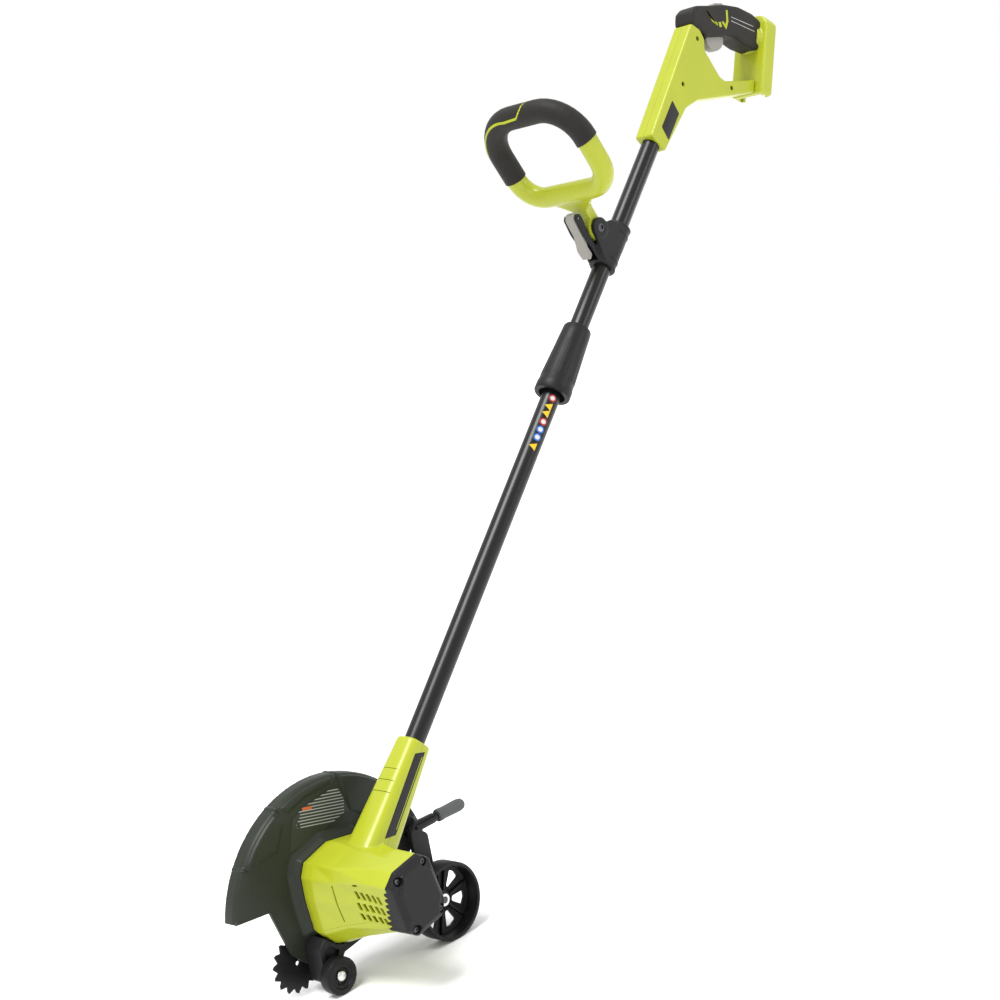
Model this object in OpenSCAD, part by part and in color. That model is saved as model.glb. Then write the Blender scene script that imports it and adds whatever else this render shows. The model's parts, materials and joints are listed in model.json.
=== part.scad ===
// Battery lawn edger in its working attitude: X points forward along the cut, Y to the motor side, Z up.
// Every shape is drawn from the blade spindle at ground level, then moved so that the origin of the
// whole machine is the bottom centre of its box.

/* [Blade and guard] */
// Diameter swept by the blade
blade_d = 228.6; // [220:0.1:230]
// Thickness of the blade
blade_t = 2; // [1.5:0.1:2]
// Height of the spindle above the ground
spindle_z = 79.8; // [79:0.1:82]
// Outer radius of the guard
guard_r = 142.7; // [141:0.1:145]
// Depth of the guard's rim
guard_w = 21; // [20:0.5:24]
// Wall of the guard
guard_wall = 3; // [2.5:0.1:3]

/* [Wheels] */
// Diameter of the rear depth wheel
rear_wheel_d = 89; // [86:0.5:90]
// Diameter of the front guide wheel
guide_wheel_d = 41.2; // [38:0.2:42]
// Width of the rear wheel
rear_wheel_w = 23.7; // [20:0.1:25]
// Width of the guide wheel
guide_wheel_w = 15.2; // [13:0.1:15.4]

/* [Boom] */
// Outer diameter of both boom tubes
tube_d = 24; // [24:0.1:24.2]
// Wall of the tubes
tube_wall = 1.6; // [1.2:0.1:1.8]
// Lean of the boom back from upright
boom_tilt = 44; // [42:0.5:46]
// Place along the boom where the two tubes meet
joint_s = 676; // [674:1:678]
// Place along the boom where the front handle clamps on
clamp_s = 856; // [854:1:858]

/* [Drive] */
// Teeth on the motor pinion
pinion_teeth = 14; // [14:1:14]
// Teeth on the spindle gear
gear_teeth = 54; // [54:1:54]
// Width of the gear faces
gear_w = 10; // [8:0.5:10]
// Diameter of the blade spindle
spindle_d = 10; // [10:0.1:10]

/* [Front handle] */
// Half width of the loop, from its middle to the tube's centre line
loop_half = 70; // [67:1:72]
// Thickness of the rubber grip on the loop
grip_d = 30; // [28:0.5:31]

/* [Hidden] */
$fn = 64;

// Fits between moving pieces
run_gap = 0.05;
free_gap = 0.3;

// Drive train: the motor sits above the spindle, leaning forward
gear_module = 1;
centre_gap = gear_module * (gear_teeth + pinion_teeth) / 2;
motor_lean = 15;
motor_x = centre_gap * sin(motor_lean);
motor_z = spindle_z + centre_gap * cos(motor_lean);
gear_y0 = 14;
shaft_d = 5;
can_d = 44;
can_y0 = 40;
can_y1 = 112;
bearing_od = 26;
small_bearing_od = 16;
case_r = 30;
case_wall = 1.8;
case_top_r = 18;
case_y1 = 27;
cover_y1 = 38;

// Motor housing section, leaning forward like the end cap
cap_lean = 12;
cap_half_w = 30;
cap_half_h = 39;
cap_cut = 12;
housing_y0 = 10;
housing_y1 = 150;
shell_wall = 2.5;
cap_face_y = 151.6;
base_outline = [[56, 106], [55.5, 132], [48, 147], [12, 158], [-30, 152], [-46, 132], [-46, 98],
    [-23, 50], [-2, 46], [20, 45.5], [38, 52], [52, 68]];

// Boom frame: local X is forward and up from the boom, local Z runs up the boom
boom_y = 53.2;
boom_foot = [motor_x + 2.4, boom_y, motor_z + 2.1];
tube_start = 44;
tube_id = tube_d - 2 * tube_wall;
neck_top = 166;
neck_base_d = 50;
neck_top_d = 34;
collar_s0 = 631;
collar_s1 = 729;
collet_d = 31;
spigot_reach = 60;
tube_end = 1100;

// Front handle: its loop stands on the pivot and leans forward from upright
pivot_q = 40;
loop_lean = 31;
loop_low = 57;
loop_high = 174;
loop_low_r = 33;
loop_top_r = 48;
hub_r = 15;
stem_back = 12;
stem_t = 15;
hub_w = 19.4;
ear_t = 5;
ear_r = 13;
pivot = boom_foot + [
    -sin(boom_tilt) * clamp_s + cos(boom_tilt) * pivot_q, 0,
    cos(boom_tilt) * clamp_s + sin(boom_tilt) * pivot_q];

// Rear handle, in the X and Z of the spindle frame
handle_half = 15;
handle_outline = [[-688, 864], [-710.5, 840.5], [-771, 894], [-800, 903], [-932.4, 904.4], [-939.4, 921.8],
    [-862, 924], [-833, 967], [-838, 988], [-812, 1004]];
grip_outline = [[-812, 1004], [-817, 1021], [-829, 1027], [-855, 1026], [-892, 1028], [-925, 1023],
    [-960, 1014], [-985, 995], [-972, 966], [-955, 962], [-905, 982], [-886, 985], [-846, 985],
    [-836, 979.6], [-838, 988]];
dock_foot = [-932, 903.4];
dock_lean = 22;
dock_t = 24;
dock_h = 116;
dock_half = 27;

// Depth arm
arm_pivot = [-46, 56];
arm_y0 = 25;
arm_y1 = 31;
axle = [-105.7, rear_wheel_d / 2];
lever_top = [-100, 131];
lever_tip_x = -180;
rear_wheel_y = 40.5;
guide_axle = [49, guide_wheel_d / 2];
guide_wheel_y = 28;

// Box of the whole machine, for its origin
front_x = guard_r * cos(12.5);
back_x = dock_foot[0] - dock_h * sin(dock_lean) - dock_t * cos(dock_lean);
loop_y0 = boom_y - loop_half - grip_d / 2;
row_shift = [-(front_x + back_x) / 2, -(cap_face_y + loop_y0) / 2, 0];

// ---------- placing helpers ----------
module machine() { translate(row_shift) children(); }

// A profile in X and Z, as a plate between two Y planes
module plate(y0, y1) { translate([0, y1, 0]) rotate([90, 0, 0]) linear_extrude(y1 - y0) children(); }

module rod_y(at, d, y0, y1) {
    translate([at[0], y1, at[1]]) rotate([90, 0, 0]) cylinder(d = d, h = y1 - y0);
}

module ring_y(at, od, id, y0, y1) {
    difference() {
        rod_y(at, od, y0, y1);
        rod_y(at, id, y0 - 1, y1 + 1);
    }
}

module hex_y(at, across, y0, y1) {
    translate([at[0], y1, at[1]]) rotate([90, 0, 0]) cylinder(d = across / cos(30), h = y1 - y0, $fn = 6);
}

module on_boom(s = 0) { translate(boom_foot) rotate([0, -boom_tilt, 0]) translate([0, 0, s]) children(); }

module on_cap() { translate([motor_x, 0, motor_z]) rotate([0, cap_lean, 0]) children(); }

module on_loop() { translate(pivot) rotate([0, loop_lean, 0]) children(); }

module on_dock() {
    translate([dock_foot[0], boom_y, dock_foot[1]]) rotate([0, -dock_lean, 0]) children();
}

spindle_at = [0, spindle_z];
motor_at = [motor_x, motor_z];

// Two circles joined by straight sides, from the spindle to the motor axis
side_inset = 0.4;

module pear(r1, r2) {
    spread = acos((r1 - r2) / centre_gap);
    dir = 90 - motor_lean;
    e1 = r1 - side_inset;
    e2 = r2 - side_inset;
    translate([0, spindle_z]) {
        circle(r1);
        translate(centre_gap * [cos(dir), sin(dir)]) circle(r2);
        polygon([
            e1 * [cos(dir + spread), sin(dir + spread)],
            e1 * [cos(dir - spread), sin(dir - spread)],
            centre_gap * [cos(dir), sin(dir)] + e2 * [cos(dir - spread), sin(dir - spread)],
            centre_gap * [cos(dir), sin(dir)] + e2 * [cos(dir + spread), sin(dir + spread)]]);
    }
}

// ---------- guard ----------
guard_edge = [[139.3, 30.9], [117.3, 28.5], [95, 26.5], [85.4, -6], [78, -29.4], [66, -42.6], [51.6, -55],
    [20, -58], [-30, -50], [-72, -24], [-96, 14], [-120, 20], [-141, 20]];
guard_screw_at = [[18, 61], [-19, 62], [-19, 97], [18, 98]];

module guard_region() {
    beyond = 200;
    translate([0, spindle_z])
        polygon(concat(guard_edge, [[-beyond, 20], [-beyond, beyond], [beyond, beyond], [beyond, 30.9]]));
}

module guard() {
    color("#3d443f") difference() {
        union() {
            plate(-guard_wall, 0) intersection() {
                translate([0, spindle_z]) circle(guard_r);
                guard_region();
            }
            plate(-guard_w, 0) intersection() {
                translate([0, spindle_z]) difference() {
                    circle(guard_r);
                    circle(guard_r - guard_wall);
                }
                translate([0, spindle_z]) polygon([[139.3, 30.9], [-138, 20], [-200, 20], [-200, 200],
                    [200, 200], [200, 30.9]]);
            }
            plate(0, housing_y0) difference() {
                polygon([for (p = base_outline) [4, 101] + 0.97 * (p - [4, 101])]);
                pear(case_r, case_top_r);
            }
            rod_y(arm_pivot, 16, -guard_wall, arm_y0 - free_gap);
        }
        rod_y(spindle_at, 28, -guard_wall - 1, 1);
        for (p = guard_screw_at) rod_y(p, 4, -guard_wall - 1, 1);
        rod_y(arm_pivot, 8, -5, arm_y0 + 1);
    }
}

label_outline = [[54, 158], [42, 192], [25.5, 199], [-22, 206], [-27.5, 201.5], [-38, 173], [-31, 174],
    [-3, 166.5], [18, 162]];

module guard_label() { color("#23261f") plate(0, 0.6) polygon(label_outline); }

module guard_screws() {
    color("#3a3a3c") for (p = guard_screw_at) {
        rod_y(p, 4, -guard_wall, 8);
        rod_y(p, 8, -guard_wall - 2.5, -guard_wall);
    }
}

// ---------- gear case ----------
module gear_case() {
    color("#9a9da0") difference() {
        plate(0, case_y1) pear(case_r, case_top_r);
        plate(gear_y0 - 2, case_y1 + 1) pear(case_r - case_wall, case_top_r - case_wall);
        rod_y(spindle_at, bearing_od, 2, gear_y0);
        rod_y(spindle_at, 20, -1, 3);
        for (p = guard_screw_at) rod_y(p, 4, -1, 8);
    }
}

module gear_case_cover() {
    color("#9a9da0") difference() {
        plate(case_y1, cover_y1) pear(case_r, case_top_r);
        rod_y(spindle_at, bearing_od, case_y1 - 1, 35);
        rod_y(motor_at, small_bearing_od, 29, 35);
        rod_y(motor_at, 8, case_y1 - 1, cover_y1 + 1);
    }
}

// ---------- motor housing ----------
// Section around the motor, cut at its corners; t shrinks it
module cap_section(t = 0) {
    w = cap_half_w - t;
    h = cap_half_h - t;
    polygon([[w, h - cap_cut], [w - cap_cut, h], [cap_cut - w, h], [-w, h - cap_cut], [-w, cap_cut - h],
        [cap_cut - w, -h], [w - cap_cut, -h], [w, cap_cut - h]]);
}

module base_section(t = 0, shrink = 1) {
    offset(delta = -t) polygon([for (p = base_outline) [4, 101] + shrink * (p - [4, 101])]);
}

module housing_body(t = 0) {
    hull() {
        plate(housing_y0, housing_y0 + 1) base_section(t, 0.97);
        plate(22, 34) base_section(t);
        on_cap() plate(54, 56) cap_section(t + 0.05);
    }
    on_cap() plate(54, housing_y1) cap_section(t);
}

// Everything on the cap's side of the slanted joint between housing and end cap
module beyond_joint() {
    on_cap() translate([0, 131.5, 0]) rotate([-17, 0, 0]) translate([-100, 0, -100]) cube([200, 100, 200]);
}

module neck_solid() {
    on_boom(24) cylinder(d1 = neck_base_d, d2 = neck_top_d, h = neck_top - 24);
}

module housing_shell(side) {
    difference() {
        union() {
            housing_body();
            neck_solid();
        }
        housing_body(shell_wall);
        plate(housing_y0 - 1, cover_y1 + free_gap) pear(case_r + 0.1, case_top_r + 0.1);
        on_boom(tube_start) cylinder(d = tube_d, h = 200);
        for (s = housing_screw_s, side = [-1, 1])
            on_boom(s) translate([-9, side * 14.2, 0]) rotate([0, 90, 0]) cylinder(d = 3, h = 18);
        translate([0, housing_y0 - 1, 0]) on_boom_cut(side);
        beyond_joint();
        plate(housing_y0 - 1, housing_y0 + 2) base_section(shell_wall, 0.97);
        neck_strip_solid();
    }
}

// Half space on one side of the plane that splits the housing along the boom
module on_boom_cut(side) {
    translate([boom_foot[0], 0, boom_foot[2]]) rotate([0, -boom_tilt, 0])
        translate([side > 0 ? -300 : 0, -100, -300]) cube([300, 400, 700]);
}

module housing_front_shell() { color("#c6d62f") housing_shell(1); }

module housing_rear_shell() { color("#c6d62f") housing_shell(-1); }

housing_screw_s = [70, 150];

module housing_screws() {
    color("#3a3a3c") for (s = housing_screw_s, side = [-1, 1])
        on_boom(s) translate([-9, side * 14.2, 0]) rotate([0, 90, 0]) cylinder(d = 3, h = 18);
}

// Flat strip let into the neck's motor side, along its taper
module neck_strip_solid() {
    taper = atan((neck_base_d - neck_top_d) / 2 / (neck_top - 24));
    strip_w = 11;
    strip_h = 98;
    on_boom(24) translate([0, neck_base_d / 2, 0]) rotate([taper, 0, 0])
        translate([-strip_w / 2, -1, 38]) cube([strip_w, 1.4, strip_h]);
}

module neck_strip() { color("#33352f") neck_strip_solid(); }

module end_cap() {
    color("#3a3c3b") difference() {
        union() {
            intersection() {
                union() {
                    on_cap() plate(100, housing_y1 - 1) cap_section();
                    on_cap() plate(140, cap_face_y) cap_section(2);
                }
                beyond_joint();
            }
        }
        difference() {
            on_cap() plate(100, housing_y1 - 3) cap_section(shell_wall);
            ring_y(motor_at, 20, small_bearing_od, 124, housing_y1);
        }
        for (p = cap_screw_at) on_cap() rod_y(p, 3.4, 100, 160);
        for (p = cap_screw_at) on_cap() rod_y(p, 6.6, cap_face_y - 2, 160);
    }
}

cap_screw_at = [for (i = [-1, 1], j = [-1, 1]) [i * 19.3, j * 29.5]];

module end_cap_screws() {
    color("#2c2c2e") for (p = cap_screw_at) on_cap() {
        rod_y(p, 3.4, 130, cap_face_y - 2);
        rod_y(p, 6.4, cap_face_y - 2, cap_face_y - 0.4);
    }
}

// ---------- motor ----------
module motor_can() {
    color("#b4b6b8") difference() {
        rod_y(motor_at, can_d, cover_y1, can_y1);
        rod_y(motor_at, can_d - 4, can_y0, can_y1 + 1);
        rod_y(motor_at, 16, cover_y1 - 1, can_y0 + 1);
    }
}

module motor_magnets() {
    color("#4b4b4f") difference() {
        rod_y(motor_at, can_d - 4, 46, 98);
        rod_y(motor_at, 33, 45, 99);
        plate(45, 99) translate(motor_at) square([5, 60], center = true);
    }
}

module brush_holder() {
    color("#2f2a26") difference() {
        rod_y(motor_at, can_d - 4, 100, 109);
        rod_y(motor_at, 17, 99, 110);
    }
}

module motor_bearings() {
    color("#c8cacc") {
        ring_y(motor_at, small_bearing_od, shaft_d + run_gap, 29, 35);
        ring_y(motor_at, small_bearing_od, shaft_d + run_gap, 124, 129);
    }
}

module spindle_bearings() {
    color("#c8cacc") {
        ring_y(spindle_at, bearing_od, spindle_d + run_gap, 2, 10);
        ring_y(spindle_at, bearing_od, spindle_d + run_gap, case_y1, 35);
    }
}

module rotor_shaft() { color("#c8cacc") rod_y(motor_at, shaft_d, gear_y0 - 1, 130); }

module armature() {
    color("#8d5a34") difference() {
        ring_y(motor_at, 31, shaft_d, 50, 95);
        plate(52, 93) translate(motor_at) for (a = [0 : 30 : 330])
            rotate(a) translate([14.5, 0]) square([4, 1.6], center = true);
    }
}

module commutator() { color("#b87444") ring_y(motor_at, 16, shaft_d, 99, 108); }

module cooling_fan() {
    color("#2b2b2d") {
        ring_y(motor_at, 14, shaft_d, 114, 121);
        ring_y(motor_at, 38, 13.8, 114, 115.5);
        plate(115.5, 121) translate(motor_at) for (a = [0 : 40 : 320])
            rotate(a) translate([6, -0.8]) square([12.5, 1.6]);
    }
}

// Spur gear profile with straight flanks; play thins the teeth
module gear_profile(teeth, play = 0.16) {
    pitch_r = gear_module * teeth / 2;
    step = 360 / teeth;
    tip_r = pitch_r + 0.9 * gear_module;
    root_r = pitch_r - 1.2 * gear_module;
    half = (0.25 - play / 4) * step;
    polygon([for (i = [0 : teeth - 1]) for (p = [
        [root_r, -half * 1.55], [pitch_r, -half], [tip_r, -half * 0.45],
        [tip_r, half * 0.45], [pitch_r, half], [root_r, half * 1.55]])
        p[0] * [cos(i * step + p[1]), sin(i * step + p[1])]]);
}

module pinion() {
    color("#b9bbbd") plate(gear_y0, gear_y0 + gear_w) translate(motor_at) difference() {
        rotate(90 - motor_lean + 180 + 180 / pinion_teeth) gear_profile(pinion_teeth);
        circle(d = shaft_d);
    }
}

module drive_gear() {
    color("#a8aaac") difference() {
        plate(gear_y0, gear_y0 + gear_w)
            translate(spindle_at) rotate(90 - motor_lean) gear_profile(gear_teeth);
        rod_y(spindle_at, spindle_d, 0, 40);
        for (a = [0 : 60 : 300]) rod_y(spindle_at + 16 * [cos(a), sin(a)], 8, 0, 40);
    }
}

// ---------- blade ----------
module spindle() { color("#c8cacc") rod_y(spindle_at, spindle_d, -20.5, 34.8); }

module inner_flange() { color("#a8aaac") ring_y(spindle_at, 32, spindle_d, -9, -4.5); }

module outer_flange() { color("#a8aaac") ring_y(spindle_at, 32, spindle_d, -14, -9 - blade_t); }

module blade_nut() {
    color("#a8aaac") difference() {
        hex_y(spindle_at, 17, -20, -14);
        rod_y(spindle_at, spindle_d, -21, -13);
    }
}

blade_angle = -34;
tip_r = 33.5;
tip_root_r = 28.5;
tip_teeth = 16;

// Flat bar with a round toothed head at each end
module blade() {
    head = blade_d / 2 - tip_r;
    color("#1d1d1f") plate(-9 - blade_t, -9) translate(spindle_at) rotate(blade_angle) difference() {
        union() {
            square([2 * head, 44], center = true);
            circle(d = 60);
            for (side = [0, 180]) rotate(side) translate([head, 0])
                polygon([for (i = [0 : 2 * tip_teeth - 1])
                (i % 2 == 0 ? tip_r : tip_root_r) * [cos(i * 180 / tip_teeth), sin(i * 180 / tip_teeth)]]);
        }
        circle(d = spindle_d);
        for (side = [-1, 1]) translate([side * head, 0]) circle(d = 5);
    }
}

// ---------- guide wheel ----------
module wheel_bracket() {
    color("#3b3d3a") difference() {
        plate(0, 27) polygon([[20, 43.5], [37, 50], [50, 63], [62, 52], [60, 14], [40, 12], [30, 34]]);
        rod_y(guide_axle, 6, 13.8, 30);
    }
}

module guide_wheel_bolt() {
    color("#c8cacc") {
        rod_y(guide_axle, 6, 14, 40);
        rod_y(guide_axle, 11, 39.5, 42.5);
    }
}

module guide_wheel() {
    color("#1f2021") difference() {
        rod_y(guide_axle, guide_wheel_d, guide_wheel_y, guide_wheel_y + guide_wheel_w);
        rod_y(guide_axle, 6 + 2 * run_gap, 20, 50);
        rod_y(guide_axle, 16, 39, 50);
    }
}

// ---------- depth arm and rear wheel ----------
module depth_quadrant() {
    color("#2c2e2d") difference() {
        union() {
            plate(12, 18) polygon([[-48.5, 142], [-66, 158], [-92, 152], [-112, 138], [-114, 118], [-92, 98],
                [-60, 92], [-48.5, 98]]);
            for (p = quadrant_screw_at) rod_y(p, 12, 0, 12);
        }
        for (p = quadrant_screw_at) rod_y(p, 5, -1, 30);
    }
}

quadrant_screw_at = [[-99, 124], [-66, 106]];

module quadrant_screws() {
    color("#55585a") for (p = quadrant_screw_at) {
        rod_y(p, 5, 1, 18);
        rod_y(p, 9, 18, 20.5);
    }
}

module arm_pivot_pin() {
    color("#c8cacc") {
        rod_y(arm_pivot, 8, -guard_wall, arm_y1 + 1);
        rod_y(arm_pivot, 13, arm_y1 + 0.5, arm_y1 + 3.5);
    }
}

module depth_arm() {
    color("#222423") difference() {
        union() {
            rod_y(arm_pivot, 24, arm_y0, arm_y1);
            rod_y(axle, 24, arm_y0, arm_y1);
            plate(arm_y0, arm_y1) polygon([[-48, 46], [-103, 35], [-116, 60], [-116, 120], [-108, 125],
                [-137, 125], [-137, 137], [-103, 137], [-92, 126], [-92, 72], [-82, 62], [-44, 66]]);
            translate([-132, (arm_y0 + arm_y1) / 2, lever_top[1]])
                rotate([0, -90, 0]) cylinder(d = 8, h = 40);
        }
        rod_y(arm_pivot, 8 + 2 * run_gap, 20, 40);
        rod_y(axle, 8, 20, 40);
    }
}

module depth_lever_grip() {
    color("#6b6e70") difference() {
        translate([-137.5, (arm_y0 + arm_y1) / 2, lever_top[1]]) rotate([0, -90, 0]) {
            cylinder(d = 15, h = 35);
            translate([0, 0, 35]) sphere(d = 15);
        }
        translate([-137, (arm_y0 + arm_y1) / 2, lever_top[1]]) rotate([0, -90, 0]) cylinder(d = 8, h = 35);
    }
}

module rear_axle() {
    color("#a8aaac") {
        rod_y(axle, 8, arm_y0 - 2, rear_wheel_y + 8);
        rod_y(axle, 14, rear_wheel_y + 8, rear_wheel_y + 11);
        rod_y(axle, 12, arm_y1, rear_wheel_y - free_gap);
    }
}

wheel_spokes = 6;

module rear_wheel() {
    r = rear_wheel_d / 2;
    y0 = rear_wheel_y;
    color("#1f2021") difference() {
        union() {
            ring_y(axle, rear_wheel_d, rear_wheel_d - 9, y0, y0 + rear_wheel_w);
            rod_y(axle, rear_wheel_d - 8, y0 + 2, y0 + 6);
            rod_y(axle, 20, y0, y0 + 7.7);
        }
        rod_y(axle, 8 + 2 * run_gap, y0 - 1, y0 + 30);
        for (i = [0 : wheel_spokes - 1]) plate(y0, y0 + 7) translate(axle) rotate(60 * i + 18)
            polygon([[13, -3], [33, -8], [33, 8], [13, 3]]);
    }
}

// ---------- boom ----------
module lower_tube() {
    color("#1c1c1e") on_boom(tube_start) difference() {
        cylinder(d = tube_d, h = joint_s - tube_start);
        translate([0, 0, -1]) cylinder(d = tube_id, h = joint_s);
    }
}

module boom_spigot() {
    color("#8e9092") on_boom(joint_s) difference() {
        union() {
            translate([0, 0, -spigot_reach]) cylinder(d = tube_id, h = spigot_reach);
            cylinder(d = tube_id - 2 * run_gap, h = spigot_reach);
        }
        translate([0, 0, -spigot_reach - 1]) cylinder(d = tube_id - 3, h = 2 * spigot_reach + 2);
    }
}

module boom_collet() {
    color("#2b2c2c") on_boom(joint_s - 38) difference() {
        cylinder(d = collet_d, h = 37);
        translate([0, 0, -1]) cylinder(d = tube_d, h = 40);
    }
}

module lock_collar() {
    h = collar_s1 - collar_s0;
    bore = collet_d / 2 + run_gap;
    color("#242626") on_boom(collar_s0) rotate_extrude() polygon([
        [bore + 1.5, 0], [22.6, 0], [23, 3], [23, 14], [21.5, 34],
        [18, h - 8], [17.4, h], [tube_d / 2 + free_gap, h],
        [tube_d / 2 + free_gap, 52], [bore, 48], [bore, 6]]);
}

module upper_tube() {
    color("#1c1c1e") on_boom(joint_s + 0.5) difference() {
        cylinder(d = tube_d, h = tube_end - joint_s);
        translate([0, 0, -1]) cylinder(d = tube_id, h = tube_end);
    }
}

// ---------- front handle ----------
module handle_bracket() {
    color("#333535") difference() {
        union() {
            on_boom(clamp_s - 33) cylinder(d = 33, h = 66);
            for (side = [-1, 1]) on_boom(0) translate([0, side * (10 + ear_t / 2), 0]) hull() {
                translate([pivot_q, ear_t / 2, clamp_s])
                    rotate([90, 0, 0]) cylinder(r = ear_r, h = ear_t, $fn = 32);
                translate([8, -ear_t / 2, clamp_s - 32]) cube([5, ear_t, 62]);
            }
            for (side = [-1, 1]) on_boom(clamp_s) translate([0, side * 8.9 + 1.6, 0]) rotate([90, 0, 0])
                linear_extrude(3.2) polygon([[13, -33], [60, -24], [79, -16], [81, -10], [76, -5], [70, -6],
                    [48, -17], [13, -23]]);
        }
        on_boom(clamp_s - 34) cylinder(d = tube_d, h = 68);
        on_boom(clamp_s) translate([cam_at[0], 20, cam_at[1]]) rotate([90, 0, 0]) cylinder(d = 4, h = 40);
        on_boom(clamp_s) translate([pivot_q, 20, 0]) rotate([90, 0, 0]) cylinder(d = 8, h = 40);
        on_boom(clamp_s) translate([pivot_q, 10, 0]) rotate([90, 0, 0]) cylinder(r = hub_r + 1.2, h = 20);
    }
}

module bracket_pin() {
    color("#1a1a1b") on_boom(clamp_s) translate([pivot_q, 17.5, 0]) rotate([90, 0, 0]) {
        cylinder(d = 8, h = 32.5);
        cylinder(d = 12, h = 2.5);
        translate([0, 0, 32.5]) cylinder(d = 12, h = 2.5);
    }
}

// One quarter bend of the loop about a corner centre, from angle a
module loop_bend(y, t, r, a, od, id) {
    translate([0, y, t]) rotate([0, 90, 0]) rotate([0, 0, a]) rotate_extrude(angle = 90)
        translate([r, 0]) difference() {
            circle(d = od);
            if (id > 0) circle(d = id);
        }
}

module loop_bar(from, to, od, id) {
    run = to - from;
    translate([0, from[0], from[1]]) rotate([-atan2(run[0], run[1]), 0, 0]) difference() {
        cylinder(d = od, h = norm(run));
        if (id > 0) translate([0, 0, -1]) cylinder(d = id, h = norm(run) + 2);
    }
}

module loop_upper(od, id) {
    top = loop_high - loop_top_r;
    side = loop_half - loop_top_r;
    loop_bend(side, top, loop_top_r, 90, od, id);
    loop_bend(-side, top, loop_top_r, 180, od, id);
    loop_bar([-side, loop_high], [side, loop_high], od, id);
}

loop_core_d = 19;
loop_frame_d = 27;

module loop_frame() {
    low = loop_low + loop_low_r;
    side = loop_half - loop_low_r;
    color("#c6d62f") on_loop() difference() {
        union() {
            loop_upper(loop_core_d, loop_core_d - 5);
            loop_bar([-loop_half, low], [-loop_half, loop_high - loop_top_r], loop_core_d, loop_core_d - 5);
            loop_bar([loop_half, low], [loop_half, loop_high - loop_top_r], loop_frame_d, loop_frame_d - 6);
            loop_bend(side, low, loop_low_r, 0, loop_frame_d, loop_frame_d - 6);
            loop_bend(-side, low, loop_low_r, -90, loop_frame_d, loop_frame_d - 6);
            loop_bar([-side, loop_low], [side, loop_low], loop_frame_d, loop_frame_d - 6);
            translate([-stem_back, 0, 0]) rotate([0, 0, 90]) rotate([90, 0, 0]) linear_extrude(stem_t)
                polygon([[-hub_w / 2, 6], [hub_w / 2, 6], [hub_w / 2, 26], [26, loop_low], [-26, loop_low],
                    [-hub_w / 2, 26]]);
            translate([0, hub_w / 2, 0]) rotate([90, 0, 0]) cylinder(r = hub_r, h = hub_w);
        }
        translate([0, 20, 0]) rotate([90, 0, 0]) cylinder(d = 8 + 2 * run_gap, h = 40);
    }
}

module loop_grip() {
    low = loop_low + loop_low_r;
    color("#3a3b3a") on_loop() {
        loop_upper(grip_d, loop_core_d);
        loop_bar([-loop_half, low], [-loop_half, loop_high - loop_top_r], grip_d, loop_core_d);
    }
}

cam_at = [74, -11];

module cam_lever() {
    color("#b5b4ac") on_boom(clamp_s) difference() {
        translate([0, 7, 0]) rotate([90, 0, 0]) linear_extrude(14) polygon([[28, -40], [42, -37], [57, -24],
            [79, -17], [82, -11], [79, -5], [72, -5], [56, -17], [40, -30], [29, -33]]);
        translate([cam_at[0], 20, cam_at[1]]) rotate([90, 0, 0]) cylinder(d = 4 + 2 * run_gap, h = 40);
    }
}

module cam_pin() {
    cam_pin_h = 18;
    color("#8e9092") on_boom(clamp_s) translate([cam_at[0], cam_pin_h / 2, cam_at[1]])
        rotate([90, 0, 0]) cylinder(d = 4, h = cam_pin_h);
}

// ---------- rear handle ----------
module handle_shell(side) {
    y0 = side > 0 ? boom_y : boom_y - handle_half;
    cavity0 = side > 0 ? boom_y - 1 : boom_y - handle_half + shell_wall;
    color("#c6d62f") difference() {
        plate(y0, y0 + handle_half) polygon(handle_outline);
        difference() {
            plate(cavity0, cavity0 + handle_half - shell_wall + 1)
                offset(delta = -3) polygon(handle_outline);
            on_boom(1010) cylinder(d = tube_d + 8, h = 96);
            for (p = handle_screw_at) rod_y(p, 9, boom_y - 30, boom_y + 30);
        }
        on_boom(1000) cylinder(d = tube_d, h = tube_end - 1000 + 0.5);
        for (p = handle_screw_at) rod_y(p, 3.4, boom_y - 30, boom_y + 30);
    }
}

handle_screw_at = [[-772, 925], [-880, 913.5], [-820, 983]];

module handle_left_shell() { handle_shell(1); }

module handle_right_shell() { handle_shell(-1); }

module handle_screws() {
    color("#3a3a3c") for (p = handle_screw_at) rod_y(p, 3.4, boom_y - 12, boom_y + handle_half - 0.5);
}

module grip_sleeve() {
    color("#45443f") difference() {
        union() {
            plate(boom_y - 13, boom_y + 13) polygon(grip_outline);
            plate(boom_y - 17, boom_y + 17) offset(delta = -4) polygon(grip_outline);
        }
        plate(boom_y - 9, boom_y + 9) offset(delta = -7) polygon(grip_outline);
        plate(boom_y - 6, boom_y + 6) polygon([[-848, 960], [-896, 960], [-896, 1012], [-848, 1012]]);
        plate(boom_y - 5, boom_y + 5) polygon([[-878, 1000], [-908, 1000], [-908, 1040], [-878, 1040]]);
        on_dock() translate([-60, -40, -10]) cube([60, 80, 200]);
    }
}

module battery_dock() {
    color("#c6d62f") difference() {
        on_dock() translate([-dock_t, -dock_half, 0]) cube([dock_t, 2 * dock_half, dock_h]);
        on_dock() translate([-dock_t - 1, -19, -1]) cube([17, 38, 90]);
        on_dock() translate([-dock_t + 5, -22, -1]) cube([6, 44, 90]);
    }
}

module dock_terminals() {
    color("#c8a24a") on_dock() for (y = [-12, 0, 12]) translate([-18, y - 0.8, 64]) cube([10, 1.6, 25]);
}

module trigger_switch() {
    color("#2b2b2d") plate(boom_y - 6, boom_y + 6)
        polygon([[-862, 998], [-890, 998], [-890, 1008], [-862, 1008]]);
}

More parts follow.
